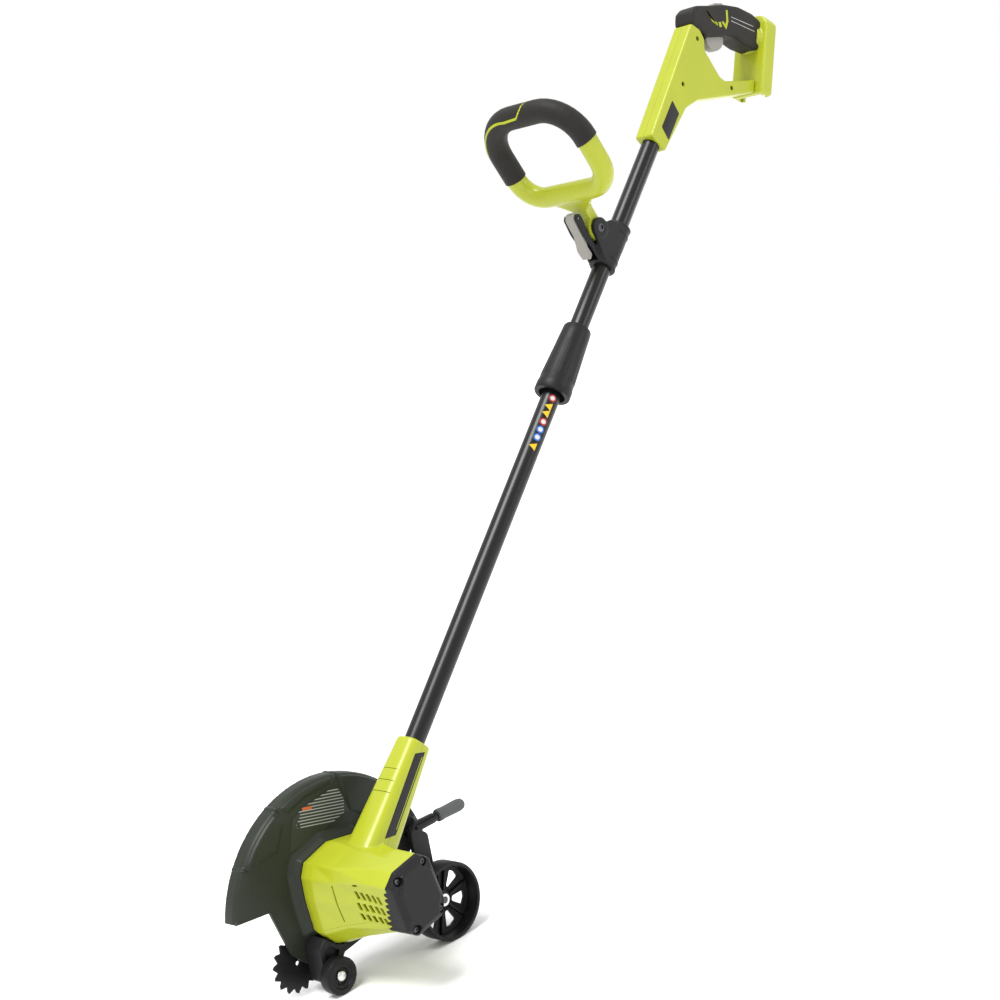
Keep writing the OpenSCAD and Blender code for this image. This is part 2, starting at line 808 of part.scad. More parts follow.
module name_plate() {
    color("#1d1d1f") on_boom(1042) translate([-12, handle_half, 0]) rotate([90, 0, 0])
        translate([0, 0, -0.6])
        linear_extrude(0.6) polygon([[0, 0], [17, 6], [17, 48], [0, 42]]);
}

module trigger() {
    color("#a7a8a2") plate(boom_y - 5.5, boom_y + 5.5) polygon([[-851, 987], [-853, 976], [-862, 968],
        [-876, 966], [-888, 974], [-893, 987]]);
}

module lock_off_button() {
    color("#a7a8a2") plate(boom_y - 4.5, boom_y + 4.5)
        polygon([[-879, 1012], [-907, 1012], [-905, 1031], [-882, 1031]]);
}

machine() guard();
machine() guard_label();
machine() guard_screws();
machine() gear_case();
machine() gear_case_cover();
machine() housing_front_shell();
machine() housing_rear_shell();
machine() housing_screws();
machine() end_cap();
machine() end_cap_screws();
machine() motor_can();
machine() motor_magnets();
machine() brush_holder();
machine() motor_bearings();
machine() spindle_bearings();
machine() wheel_bracket();
machine() guide_wheel_bolt();
machine() depth_quadrant();
machine() quadrant_screws();
machine() arm_pivot_pin();
machine() lower_tube();
machine() boom_spigot();
machine() boom_collet();
machine() neck_strip();
machine() spindle();
machine() drive_gear();
machine() inner_flange();
machine() blade();
machine() outer_flange();
machine() blade_nut();
machine() rotor_shaft();
machine() armature();
machine() commutator();
machine() pinion();
machine() cooling_fan();
machine() guide_wheel();
machine() depth_arm();
machine() depth_lever_grip();
machine() rear_axle();
machine() rear_wheel();
machine() lock_collar();
machine() upper_tube();
machine() handle_bracket();
machine() bracket_pin();
machine() handle_left_shell();
machine() handle_right_shell();
machine() handle_screws();
machine() grip_sleeve();
machine() battery_dock();
machine() dock_terminals();
machine() trigger_switch();
machine() name_plate();
machine() trigger();
machine() lock_off_button();
machine() loop_frame();
machine() loop_grip();
machine() cam_lever();
machine() cam_pin();
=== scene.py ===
import json
import math

import bmesh
import bpy
from mathutils import Matrix, Vector


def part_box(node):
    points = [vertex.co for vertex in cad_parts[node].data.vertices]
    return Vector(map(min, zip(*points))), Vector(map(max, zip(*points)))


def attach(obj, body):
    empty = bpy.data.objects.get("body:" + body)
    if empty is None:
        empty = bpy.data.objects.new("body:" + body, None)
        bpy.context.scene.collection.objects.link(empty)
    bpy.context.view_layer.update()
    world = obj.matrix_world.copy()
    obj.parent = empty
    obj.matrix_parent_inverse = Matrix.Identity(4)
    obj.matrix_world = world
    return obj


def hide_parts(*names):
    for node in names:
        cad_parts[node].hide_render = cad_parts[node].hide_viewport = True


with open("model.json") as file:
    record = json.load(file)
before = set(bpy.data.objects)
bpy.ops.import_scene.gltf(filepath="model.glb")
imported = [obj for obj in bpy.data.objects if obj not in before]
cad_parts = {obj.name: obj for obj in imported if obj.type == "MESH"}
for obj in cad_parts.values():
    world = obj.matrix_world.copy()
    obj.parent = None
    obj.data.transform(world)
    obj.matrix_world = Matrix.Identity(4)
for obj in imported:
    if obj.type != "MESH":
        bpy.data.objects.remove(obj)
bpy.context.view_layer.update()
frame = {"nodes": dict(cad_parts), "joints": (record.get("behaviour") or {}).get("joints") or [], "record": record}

bl_info = {
    "name": "Lawn edger looks",
    "version": (1, 0, 0),
    "blender": (4, 5, 0),
    "location": "3D View > Sidebar > Edger",
    "description": "Builds the mouldings, grips, wheels and finishes of a battery lawn edger",
    "category": "Add Mesh",
}

JOINTS = {j["name"]: j for j in frame["joints"]}
MM = 0.001

# ---------------------------------------------------------------------------------------------
# Where things are. Shapes are drawn in millimetres from the blade spindle at ground level, with
# X forward, Y to the motor side from the guard's face and Z up, then put in the frame.
# ---------------------------------------------------------------------------------------------
SPINDLE = Vector(JOINTS["blade_spin"]["pos_m"])
MOTOR = Vector(JOINTS["motor_spin"]["pos_m"])
PIVOT = Vector(JOINTS["front_handle_tilt"]["pos_m"])
ARM_PIVOT = Vector(JOINTS["depth_arm_swing"]["pos_m"])
REAR_AXLE = Vector(JOINTS["rear_wheel_roll"]["pos_m"])
GUIDE_AXLE = Vector(JOINTS["guide_wheel_roll"]["pos_m"])
GUARD_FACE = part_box("guard_label")[0].y
BOOM_Y = PIVOT.y
BOOM_TILT = math.radians(44)
CAP_LEAN = math.radians(12)
LOOP_LEAN = math.radians(31)
DOCK_LEAN = math.radians(22)
BLADE_TURN = math.radians(34)

# The boom: its radius, how far out from the guard's face it runs, and places up it from its foot
TUBE_R = 12.0
BOOM_OUT = 53.2
COLLAR_S = 680
CLAMP_S = 856
DOCK_AT = Vector((-932, BOOM_OUT, 903.4))

# The camera: its place, the way it looks in degrees, and its lens
CAMERA_AT = (1.4989, 1.3838, 0.7511)
CAMERA_AZIMUTH = 135.29
CAMERA_ELEVATION = 8.32
CAMERA_ROLL = -10.471
CAMERA_LENS = 60.07


def side_view(point):
    """A point's X and Z in the base frame, in millimetres"""
    return (point.x - SPINDLE.x) / MM, point.z / MM


def frame_at(origin, lean):
    """Millimetres in a frame that leans about Y, to metres in the row frame."""
    return Matrix.Translation(origin) @ Matrix.Rotation(lean, 4, "Y") @ Matrix.Scale(MM, 4)


BASE = frame_at(Vector((SPINDLE.x, GUARD_FACE, 0)), 0)
BOOM_AXIS = Vector(JOINTS["collar_turn"]["axis"])
BOOM = frame_at(Vector(JOINTS["collar_turn"]["pos_m"]) - COLLAR_S * MM * BOOM_AXIS, -BOOM_TILT)
CAP = frame_at(Vector((MOTOR.x, GUARD_FACE, MOTOR.z)), CAP_LEAN)
LOOP = frame_at(PIVOT, LOOP_LEAN)
DOCK = frame_at(BASE @ DOCK_AT, -DOCK_LEAN)
CLAMP = BOOM @ Matrix.Translation((0, 0, CLAMP_S))


# ---------------------------------------------------------------------------------------------
# Settings
# ---------------------------------------------------------------------------------------------
def colour(name, description, default):
    return bpy.props.FloatVectorProperty(
        name=name, description=description, subtype="COLOR", size=3, min=0, max=1, default=default)


def length(name, description, default, high):
    return bpy.props.FloatProperty(
        name=name, description=description, subtype="DISTANCE", unit="LENGTH", min=0, max=high,
        default=default)


class EdgerColours(bpy.types.PropertyGroup):
    """Colours of the machine's plastics, rubbers and paints"""
    lime: colour("Lime plastic", "Moulded shells and handle frames", (0.325, 0.362, 0.013))
    guard: colour("Guard plastic", "Blade guard", (0.0165, 0.0205, 0.0140))
    dark: colour("Dark plastic", "End cap, clamp, collar and arm", (0.009, 0.009, 0.010))
    rubber: colour("Grip rubber", "Overmoulded grips", (0.015, 0.0135, 0.0115))
    lever: colour("Lever rubber", "Sleeve on the depth lever", (0.080, 0.085, 0.085))
    wheel: colour("Wheel plastic", "Both wheels", (0.005, 0.005, 0.0055))
    pale: colour("Pale plastic", "Trigger, button and cam lever", (0.26, 0.25, 0.225))
    tube: colour("Tube paint", "Powder coat on both tubes", (0.005, 0.005, 0.0055))
    blade: colour("Blade coat", "Coating on the blade", (0.008, 0.008, 0.009))
    floor: colour("Floor", "Studio floor", (0.86, 0.86, 0.86))


class EdgerSizes(bpy.types.PropertyGroup):
    """Sizes of the moulded details"""
    shell_voxel: length("Moulding step", "Mesh step of the softened shells", 0.0013, 0.005)
    wall: length("Shell wall", "Wall of the motor housing", 0.0026, 0.006)
    parting: length("Parting gap", "Half the gap between two shells", 0.00012, 0.001)


def colours():
    return bpy.context.scene.edger_colours


def sizes():
    return bpy.context.scene.edger_sizes


# ---------------------------------------------------------------------------------------------
# Shader maths
# ---------------------------------------------------------------------------------------------
class Wire:
    """A node's output that takes part in sums; each operator adds one Math node"""

    def __init__(self, tree, socket):
        self.tree = tree
        self.socket = socket

    def _sum(self, operation, first, second):
        node = self.tree.nodes.new("ShaderNodeMath")
        node.operation = operation
        for socket, value in zip(node.inputs, (first, second)):
            if isinstance(value, Wire):
                self.tree.links.new(value.socket, socket)
            else:
                socket.default_value = value
        return Wire(self.tree, node.outputs[0])

    def __add__(self, other):
        return self._sum("ADD", self, other)

    __radd__ = __add__

    def __sub__(self, other):
        return self._sum("SUBTRACT", self, other)

    def __rsub__(self, other):
        return self._sum("SUBTRACT", other, self)

    def __mul__(self, other):
        return self._sum("MULTIPLY", self, other)

    __rmul__ = __mul__

    def __truediv__(self, other):
        return self._sum("DIVIDE", self, other)

    def __gt__(self, other):
        return self._sum("GREATER_THAN", self, other)

    def __lt__(self, other):
        return self._sum("LESS_THAN", self, other)

    def wave(self):
        return self._sum("SINE", self, 0.0)

    def fraction(self):
        return self._sum("FRACT", self, 0.0)

    def clamped(self):
        return self._sum("MAXIMUM", self._sum("MINIMUM", self, 1.0), 0.0)


class Finish:
    """One surface finish: a Principled shader and the nodes that feed it"""

    def __init__(self, name, base, roughness, metallic=0.0, coat=0.0, coat_roughness=0.1, specular=0.3,
                 sheen=0.0):
        self.material = bpy.data.materials.new(name)
        self.material.use_nodes = True
        self.tree = self.material.node_tree
        self.shader = self.tree.nodes["Principled BSDF"]
        self.base = (*base, 1.0)
        for socket, value in {
            "Base Color": self.base, "Roughness": roughness, "Metallic": metallic, "Coat Weight": coat,
            "Coat Roughness": coat_roughness, "Specular IOR Level": specular, "Sheen Weight": sheen,
        }.items():
            self.shader.inputs[socket].default_value = value
        self.material.diffuse_color = self.base
        self.place = self.node("ShaderNodeTexCoord", output="Object")

    def node(self, kind, settings=None, output=0, **values):
        """Adds a node, sets it up, fills its sockets and gives back one output"""
        node = self.tree.nodes.new(kind)
        for key, value in (settings or {}).items():
            if key == "stops":
                ramp = node.color_ramp
                while len(ramp.elements) < len(value):
                    ramp.elements.new(0.5)
                for element, (place, shade) in zip(ramp.elements, value):
                    element.position = place
                    element.color = shade
            else:
                setattr(node, key, value)
        for key, value in values.items():
            numbered = key[0] == "i" and key[1:].isdigit()
            self.feed(node.inputs[int(key[1:]) if numbered else key.replace("_", " ")], value)
        return Wire(self.tree, node.outputs[output])

    def feed(self, socket, value):
        if isinstance(value, Wire):
            self.tree.links.new(value.socket, socket)
        elif isinstance(value, tuple) and len(value) == 3 and socket.type == "RGBA":
            socket.default_value = (*value, 1.0)
        else:
            socket.default_value = value

    def set(self, **links):
        for key, value in links.items():
            self.feed(self.shader.inputs[key.replace("_", " ")], value)
        return self

    def noise(self, scale, detail=3.0, roughness=0.55, place=None):
        return self.node("ShaderNodeTexNoise", Vector=place or self.place, Scale=scale, Detail=detail,
                         Roughness=roughness)

    def stretched(self, scale):
        """Object coordinates squeezed along each axis, for brushed or ribbed patterns"""
        return self.node("ShaderNodeMapping", Vector=self.place, Scale=scale)

    def leaning(self, origin, lean):
        """Object coordinates counted from a point, in a frame leaning about Y"""
        return self.node("ShaderNodeMapping", {"vector_type": "TEXTURE"}, Vector=self.place,
                         Location=tuple(origin), Rotation=(0, lean, 0))

    def split(self, place):
        node = self.tree.nodes.new("ShaderNodeSeparateXYZ")
        self.tree.links.new(place.socket, node.inputs[0])
        return [Wire(self.tree, out) for out in node.outputs]

    def mix(self, share, first, second):
        return self.node("ShaderNodeMix", {"data_type": "RGBA"}, output=2, i0=share, i6=first, i7=second)

    def mottle(self, share, scale=14.0, dark=0.82, light=1.10):
        """The base colour drifting a little over the surface"""
        drift = self.node("ShaderNodeValToRGB", {"stops": [(0.3, (0, 0, 0, 1)), (0.7, (1, 1, 1, 1))]},
                          Fac=self.noise(scale, 4.0))
        deep = tuple(min(c * dark, 1) for c in self.base[:3])
        pale = tuple(min(c * light, 1) for c in self.base[:3])
        tint = self.mix(drift, deep, pale)
        return self.mix(share, self.base[:3], tint)

    def bump(self, height, strength, distance, under=None):
        values = {"Height": height, "Strength": strength, "Distance": distance}
        if under:
            values["Normal"] = under
        return self.node("ShaderNodeBump", **values)


FINISHES = {}


def moulded(name, base, roughness, grain=1500.0, depth=0.00002, share=0.6, coat=0.0, coat_roughness=0.15,
            scuff=0.0, specular=0.2):
    """Injection-moulded plastic: a fine spark texture, a drifting tint and a little handling wear"""
    finish = Finish(name, base, roughness, coat=coat, coat_roughness=coat_roughness, specular=specular)
    tint = finish.mottle(share)
    spark = finish.noise(grain, 2.0)
    flow = finish.noise(60, 3.0)
    gloss = flow * 0.10 + (roughness - 0.05)
    if scuff:
        dust = ((finish.noise(34, 5.0, 0.7) - 0.56) * 6.0).clamped() * scuff
        pale = tuple(min(c * 1.5 + 0.012, 1) for c in base)
        tint = finish.mix(dust, tint, pale)
        gloss = gloss + dust * 0.25
    normal = finish.bump(spark, 0.55, depth)
    finish.set(Base_Color=tint, Roughness=gloss, Normal=normal)
    return finish


def rubbery(name, base, roughness=0.62):
    """Overmoulded rubber: a pebbled skin with a soft sheen"""
    finish = Finish(name, base, roughness, specular=0.18, sheen=0.03)
    pebble = finish.node("ShaderNodeTexVoronoi", {"feature": "SMOOTH_F1"}, output="Distance",
                         Vector=finish.place, Scale=900.0, Smoothness=0.6)
    tint = finish.mottle(0.8, 22.0, 0.80, 1.18)
    normal = finish.bump(finish.noise(2200, 2.0), 0.3, 0.00002, finish.bump(pebble, 0.6, 0.00006))
    finish.set(Base_Color=tint, Roughness=finish.noise(90, 3.0) * 0.14 + (roughness - 0.07), Normal=normal)
    return finish


def painted(name, base, roughness, peel=420.0):
    """Powder coat: orange peel, fine grit and faint rubbing"""
    finish = Finish(name, base, roughness, coat=0.20, coat_roughness=0.28, specular=0.2)
    rub = ((finish.noise(55, 6.0, 0.75) - 0.60) * 5.0).clamped()
    tint = finish.mix(rub * 0.35, finish.mottle(0.5, 30.0), tuple(min(c * 2.2 + 0.005, 1) for c in base))
    normal = finish.bump(finish.noise(peel, 2.0), 0.35, 0.00004)
    finish.set(Base_Color=tint, Roughness=rub * 0.2 + finish.noise(80) * 0.08 + (roughness - 0.04),
               Normal=normal)
    return finish


def metal(name, base, roughness, squeeze=(1, 1, 1), grain=700.0):
    """Turned, brushed or cast metal, by how far the grain is squeezed along each axis"""
    finish = Finish(name, base, roughness, metallic=1.0)
    brushing = finish.noise(grain, 3.0, 0.6, finish.stretched(squeeze))
    tint = finish.mix(brushing, tuple(c * 0.78 for c in base), tuple(min(c * 1.12, 1) for c in base))
    finish.set(Base_Color=tint, Roughness=brushing * 0.22 + (roughness - 0.08),
               Normal=finish.bump(brushing, 0.25, 0.00003))
    return finish


def label_film():
    """Dark film with a plain rule pattern: an accent bar and pale lines, no lettering"""
    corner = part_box("guard_label")[0]
    finish = Finish("label_film", (0.018, 0.022, 0.019), 0.42, coat=0.1, coat_roughness=0.2)
    across, _, up = finish.split(finish.leaning((corner.x, corner.y, corner.z), math.radians(-12)))
    u = across / MM
    v = up / MM
    rows = (v / 3.4).fraction() > 0.70
    inside = (u > 12.0) * (u < 86.0) * (v > 5.0) * (v < 42.0)
    ragged = u < finish.noise(160, 1.0) * 20.0 + 66.0
    pale = rows * inside * ragged
    bar = (u > 58.0) * (u < 71.0) * (v > 24.0) * (v < 27.4)
    tint = finish.mix(pale * 0.75, finish.mottle(0.5), (0.40, 0.41, 0.39))
    tint = finish.mix(bar, tint, (0.45, 0.09, 0.02))
    finish.set(Base_Color=tint, Roughness=finish.noise(70) * 0.1 + 0.36,
               Normal=finish.bump(finish.noise(900, 2.0), 0.2, 0.00001))
    return finish


def plate_film(name, base):
    """Smooth printed film for the blank plates"""
    finish = Finish(name, base, 0.40, coat=0.08, coat_roughness=0.15, specular=0.2)
    finish.set(Base_Color=finish.mottle(0.6, 40.0), Roughness=finish.noise(120) * 0.08 + 0.34,
               Normal=finish.bump(finish.noise(800, 2.0), 0.2, 0.00001))
    return finish


def copper_turns_painted_shade():
    """Enamelled wire laid around the armature, with painted shade in the grooves between turns and a painted
    highlight on their crests
    """
    finish = Finish("winding_copper", (0.55, 0.22, 0.08), 0.32, metallic=0.85)
    _, across, _ = finish.split(finish.place)
    # Painted light: this wave is the wire's turns and also sets the tint below. The darker copper (0.30, 0.10,
    # 0.035) in the grooves between turns is painted shade, and the lighter copper (0.68, 0.30, 0.12) on the crests
    # is a painted highlight.
    turns = (across * 2600.0).wave() * 0.5 + 0.5
    tint = finish.mix(turns, (0.30, 0.10, 0.035), (0.68, 0.30, 0.12))
    finish.set(Base_Color=tint, Roughness=finish.noise(200) * 0.2 + 0.24, Normal=finish.bump(turns, 0.5, 0.0002))
    return finish


def make_finishes():
    c = colours()
    FINISHES.update(
        lime_plastic=moulded("lime_plastic", tuple(c.lime), 0.32, depth=0.000012, share=0.35, coat=0.06,
                             specular=0.4),
        guard_plastic=moulded("guard_plastic", tuple(c.guard), 0.42, 1100.0, 0.00003, 0.8, 0.05, 0.3, 0.14),
        dark_plastic=moulded("dark_plastic", tuple(c.dark), 0.44, 1300.0, 0.00003, 0.7, scuff=0.12),
        pale_plastic=moulded("pale_plastic", tuple(c.pale), 0.40, share=0.5, scuff=0.10),
        wheel_plastic=moulded("wheel_plastic", tuple(c.wheel), 0.42, 900.0, 0.00004, 0.8, scuff=0.20),
        grip_rubber=rubbery("grip_rubber", tuple(c.rubber), 0.58),
        lever_rubber=rubbery("lever_rubber", tuple(c.lever), 0.60),
        tube_paint=painted("tube_paint", tuple(c.tube), 0.30),
        blade_steel=painted("blade_steel", tuple(c.blade), 0.36, 600.0),
        dark_screws=metal("dark_screws", (0.085, 0.085, 0.09), 0.38, (1, 6, 1)),
        bright_steel=metal("bright_steel", (0.66, 0.66, 0.64), 0.26, (1, 12, 1)),
        motor_steel=metal("motor_steel", (0.48, 0.49, 0.50), 0.34, (1, 1, 14)),
        alloy_case=metal("alloy_case", (0.52, 0.53, 0.54), 0.46, (1, 1, 1), 380.0),
        magnet_ferrite=moulded("magnet_ferrite", (0.045, 0.045, 0.05), 0.62, 700.0, 0.00005),
        contact_brass=metal("contact_brass", (0.80, 0.60, 0.25), 0.24, (1, 1, 10)),
        winding_copper=copper_turns_painted_shade(),
        label_film=label_film(),
        plate_film=plate_film("plate_film", (0.009, 0.009, 0.010)),
        lime_print=plate_film("lime_print", tuple(c.lime)),
        pale_print=plate_film("pale_print", (0.50, 0.50, 0.48)),
        red_print=plate_film("red_print", (0.36, 0.02, 0.02)),
        blue_print=plate_film("blue_print", (0.03, 0.12, 0.45)),
        amber_print=plate_film("amber_print", (0.58, 0.38, 0.015)),
    )


# ---------------------------------------------------------------------------------------------
# Mesh helpers; a bmesh is drawn in millimetres in a local frame
# ---------------------------------------------------------------------------------------------
def fresh():
    return bmesh.new()


def join(bm, other):
    """Adds another bmesh to bm and frees it"""
    mesh = bpy.data.meshes.new("joined")
    other.to_mesh(mesh)
    other.free()
    bm.from_mesh(mesh)
    bpy.data.meshes.remove(mesh)
    return bm


def moved(bm, matrix):
    bmesh.ops.transform(bm, matrix=matrix, verts=bm.verts)
    return bm


def bevelled(bm, geom, width, steps=3, affect="EDGES"):
    bmesh.ops.bevel(bm, geom=geom, offset=width, offset_type="OFFSET", segments=steps, profile=0.5,
                    affect=affect, material=-1, clamp_overlap=True)


def thickened(bm, faces, run):
    """Extrudes faces along a vector"""
    grown = bmesh.ops.extrude_face_region(bm, geom=faces)
    verts = [g for g in grown["geom"] if isinstance(g, bmesh.types.BMVert)]
    bmesh.ops.translate(bm, vec=run, verts=verts)


def arc(centre, radius, start, stop, count=10):
    """Points round part of a circle, between two angles in degrees"""
    turns = [math.radians(start + (stop - start) * i / count) for i in range(count + 1)]
    return [(centre[0] + radius * math.cos(a), centre[1] + radius * math.sin(a)) for a in turns]


def plate(points, low, high, corner=0.0, edge=0.0, steps=3):
    """A flat outline in X and Z, thick along Y; corner rounds the outline and edge its two rims"""
    bm = fresh()
    face = bm.faces.new([bm.verts.new((x, low, z)) for x, z in points])
    if corner:
        bevelled(bm, list(face.verts), corner, 4, "VERTICES")
    thickened(bm, bm.faces[:1], (0, high - low, 0))
    bmesh.ops.recalc_face_normals(bm, faces=bm.faces)
    if edge:
        rims = [e for e in bm.edges if abs(e.verts[0].co.y - e.verts[1].co.y) < 1e-6]
        bevelled(bm, rims, edge, steps)
    return bm


def turned(profile, steps=64, closed=False):
    """A profile of (radius, height) turned about local Y"""
    bm = fresh()
    verts = [bm.verts.new((r, y, 0)) for r, y in profile]
    edges = [bm.edges.new(pair) for pair in zip(verts, verts[1:])]
    if closed:
        edges.append(bm.edges.new((verts[-1], verts[0])))
    bmesh.ops.spin(bm, geom=verts + edges, cent=(0, 0, 0), axis=(0, 1, 0), dvec=(0, 0, 0), angle=math.tau,
                   steps=steps, use_merge=True, use_duplicate=False)
    bmesh.ops.remove_doubles(bm, verts=bm.verts, dist=1e-4)
    bmesh.ops.recalc_face_normals(bm, faces=bm.faces)
    return bm


def rod(radius, low, high, steps=48, edge=0.0):
    """A round bar along local Z from low to high"""
    bm = fresh()
    bmesh.ops.create_cone(bm, cap_ends=True, segments=steps, radius1=radius, radius2=radius,
                          depth=high - low, matrix=Matrix.Translation((0, 0, (low + high) / 2)))
    if edge:
        rims = [e for e in bm.edges if abs(e.verts[0].co.z - e.verts[1].co.z) < 1e-6]
        bevelled(bm, rims, edge)
    return bm


def cross_rod(at, radius, low, high, steps=48, edge=0.0):
    """A round bar along local Y through the point (x, z)"""
    bm = rod(radius, low, high, steps, edge)
    return moved(bm, Matrix.Translation((at[0], 0, at[1])) @ Matrix.Rotation(-math.pi / 2, 4, "X"))


def block(low, high, edge=0.0):
    bm = fresh()
    bmesh.ops.create_cube(bm, size=1.0)
    size = Vector(high) - Vector(low)
    centre = (Vector(high) + Vector(low)) / 2
    moved(bm, Matrix.Translation(centre) @ Matrix.Diagonal((*size, 1)))
    if edge:
        bevelled(bm, bm.edges, edge)
    return bm


def loft(rings):
    """A closed skin through rings of the same number of points"""
    bm = fresh()
    loops, ends = [], []
    for ring in rings:
        verts = [bm.verts.new(p) for p in ring]
        loops.append([bm.edges.new((a, b)) for a, b in zip(verts, verts[1:] + verts[:1])])
        ends.append(verts)
    for one, two in zip(loops, loops[1:]):
        bmesh.ops.bridge_loops(bm, edges=one + two)
    bm.faces.new(ends[0])
    bm.faces.new(ends[-1])
    bmesh.ops.recalc_face_normals(bm, faces=bm.faces)
    return bm


def bar_between(start, finish, radius, steps=24):
    """A round bar between two local points"""
    start, finish = Vector(start), Vector(finish)
    run = finish - start
    bm = rod(radius, 0, run.length, steps)
    turn = Vector((0, 0, 1)).rotation_difference(run.normalized()).to_matrix().to_4x4()
    return moved(bm, Matrix.Translation(start) @ turn)


def swept(points, radius, steps=28):
    """A round bar swept along local points in the plane across X"""
    rings = []
    for i, point in enumerate(points):
        before, after = points[max(i - 1, 0)], points[min(i + 1, len(points) - 1)]
        run = (Vector(after) - Vector(before)).normalized()
        side = Vector((1, 0, 0))
        out = run.cross(side).normalized()
        ring = []
        for k in range(steps):
            a = math.tau * k / steps
            ring.append(Vector(point) + radius * (math.cos(a) * side + math.sin(a) * out))
        rings.append(ring)
    return loft(rings)


def as_object(name, bm):
    """Puts a bmesh in the scene as an object, and frees it"""
    mesh = bpy.data.meshes.new(name)
    bm.to_mesh(mesh)
    bm.free()
    obj = bpy.data.objects.new(name, mesh)
    bpy.context.scene.collection.objects.link(obj)
    return obj


def piece(name, bm, place, finish, body, replaces=(), smooth=35):
    """Turns a bmesh into a piece in the frame, with its finish and its body"""
    moved(bm, place)
    bmesh.ops.recalc_face_normals(bm, faces=bm.faces)
    obj = as_object(name, bm)
    shade(obj, smooth)
    finish_piece(obj, finish, body, replaces)
    return obj


def finish_piece(obj, finish, body, replaces=()):
    obj.data.materials.clear()
    obj.data.materials.append(FINISHES[finish].material)
    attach(obj, body)
    if replaces:
        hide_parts(*replaces)


def add_modifier(obj, kind, **settings):
    modifier = obj.modifiers.new(kind.lower(), kind)
    for key, value in settings.items():
        setattr(modifier, key, value)
    return modifier


def freeze(obj):
    """Puts the result of an object's modifiers into its mesh"""
    bpy.context.view_layer.update()
    graph = bpy.context.evaluated_depsgraph_get()
    mesh = bpy.data.meshes.new_from_object(obj.evaluated_get(graph))
    old = obj.data
    obj.modifiers.clear()
    obj.data = mesh
    bpy.data.meshes.remove(old)
    mesh.name = obj.name


def shade(obj, degrees):
    """Smooth shading with sharp edges above an angle"""
    bm = fresh()
    bm.from_mesh(obj.data)
    limit = math.radians(degrees)
    for face in bm.faces:
        face.smooth = True
    for edge in bm.edges:
        edge.smooth = len(edge.link_faces) != 2 or edge.calc_face_angle(0) < limit
    bm.to_mesh(obj.data)
    bm.free()


def soft_mesh(bm, place, voxel, passes, name):
    """Fuses overlapping closed shapes into one skin with soft inside and outside corners"""
    moved(bm, place)
    obj = as_object(name, bm)
    add_modifier(obj, "REMESH", mode="VOXEL", voxel_size=voxel, use_smooth_shade=True)
    add_modifier(obj, "SMOOTH", factor=0.5, iterations=passes)
    freeze(obj)
    return obj


def carve(obj, bm, place, operation="DIFFERENCE", crossing=False):
    """Cuts a closed shape out of obj, or keeps what is inside it; crossing when either overlaps itself"""
    moved(bm, place)
    bmesh.ops.recalc_face_normals(bm, faces=bm.faces)
    cutter = as_object("cutter", bm)
    add_modifier(obj, "BOOLEAN", operation=operation, solver="EXACT", object=cutter, use_self=crossing)
    freeze(obj)
    clear_piece(cutter)


def half_of(obj, name, point, normal):
    """One side of a moulding, cut by a plane and closed again"""
    bm = fresh()
    bm.from_mesh(obj.data)
    made = bmesh.ops.bisect_plane(bm, geom=bm.verts[:] + bm.edges[:] + bm.faces[:], dist=1e-7,
                                  plane_co=point, plane_no=normal, clear_inner=True)
    rim = [g for g in made["geom_cut"] if isinstance(g, bmesh.types.BMEdge)]
    bmesh.ops.triangle_fill(bm, use_beauty=True, edges=rim)
    bmesh.ops.recalc_face_normals(bm, faces=bm.faces)
    return as_object(name, bm)


def clear_piece(obj):
    mesh = obj.data
    bpy.data.objects.remove(obj)
    bpy.data.meshes.remove(mesh)


def pattern(bm_maker, places):
    """The same small shape at several local places"""
    bm = fresh()
    for place in places:
        join(bm, moved(bm_maker(), place))
    return bm


# ---------------------------------------------------------------------------------------------
# Outlines, in millimetres
# ---------------------------------------------------------------------------------------------
SPINDLE_Z = SPINDLE.z / MM
MOTOR_AT = side_view(MOTOR)
ARM_AT = side_view(ARM_PIVOT)
REAR_AT = side_view(REAR_AXLE)
GUIDE_AT = side_view(GUIDE_AXLE)
GUARD_R = 142.7
GUARD_W = 21.0
GUARD_EDGE = [(141, 30.9), (117.3, 28.5), (95, 26.5), (85.4, -6), (78, -29.4), (66, -42.6), (51.6, -55),
              (20, -58), (-30, -50), (-72, -24), (-96, 14), (-120, 20), (-143.5, 20)]
HOUSING_FOOT = [(56, 106), (55.5, 132), (48, 147), (12, 158), (-30, 152), (-46, 132), (-46, 98), (-23, 50),
                (-2, 46), (20, 45.5), (38, 52), (52, 68)]
HOUSING_WAIST = [(49.5, 106), (50.5, 131), (47.5, 146), (13, 155), (-22, 149), (-33, 131), (-34, 100),
                 (-24, 66), (-6, 57), (14, 55.5), (31, 60), (44, 76)]
CAP_RING = [(30, 0), (30, 27), (18, 39), (0, 39), (-18, 39), (-30, 27), (-30, 0), (-30, -27), (-18, -39),
            (0, -39), (18, -39), (30, -27)]
HOUSING_CENTRE = (4, 101)


def scaled(points, centre, share):
    return [(centre[0] + (x - centre[0]) * share, centre[1] + (z - centre[1]) * share) for x, z in points]


def leaned(points, y, grow=0.0):
    """Points of the cap's leaning section, at one depth, in the base frame"""
    cos, sin = math.cos(CAP_LEAN), math.sin(CAP_LEAN)
    out = []
    for x, z in points:
        reach = math.hypot(x, z)
        x, z = x * (1 + grow / reach), z * (1 + grow / reach)
        out.append(Vector((MOTOR_AT[0] + x * cos + z * sin, y, MOTOR_AT[1] - x * sin + z * cos)))
    return out


def at_depth(points, y):
    return [Vector((x, y, z)) for x, z in points]


def inset(points, centre, step):
    out = []
    for x, z in points:
        run = Vector((x - centre[0], z - centre[1]))
        run *= 1 - step / run.length
        out.append((centre[0] + run.x, centre[1] + run.y))
    return out


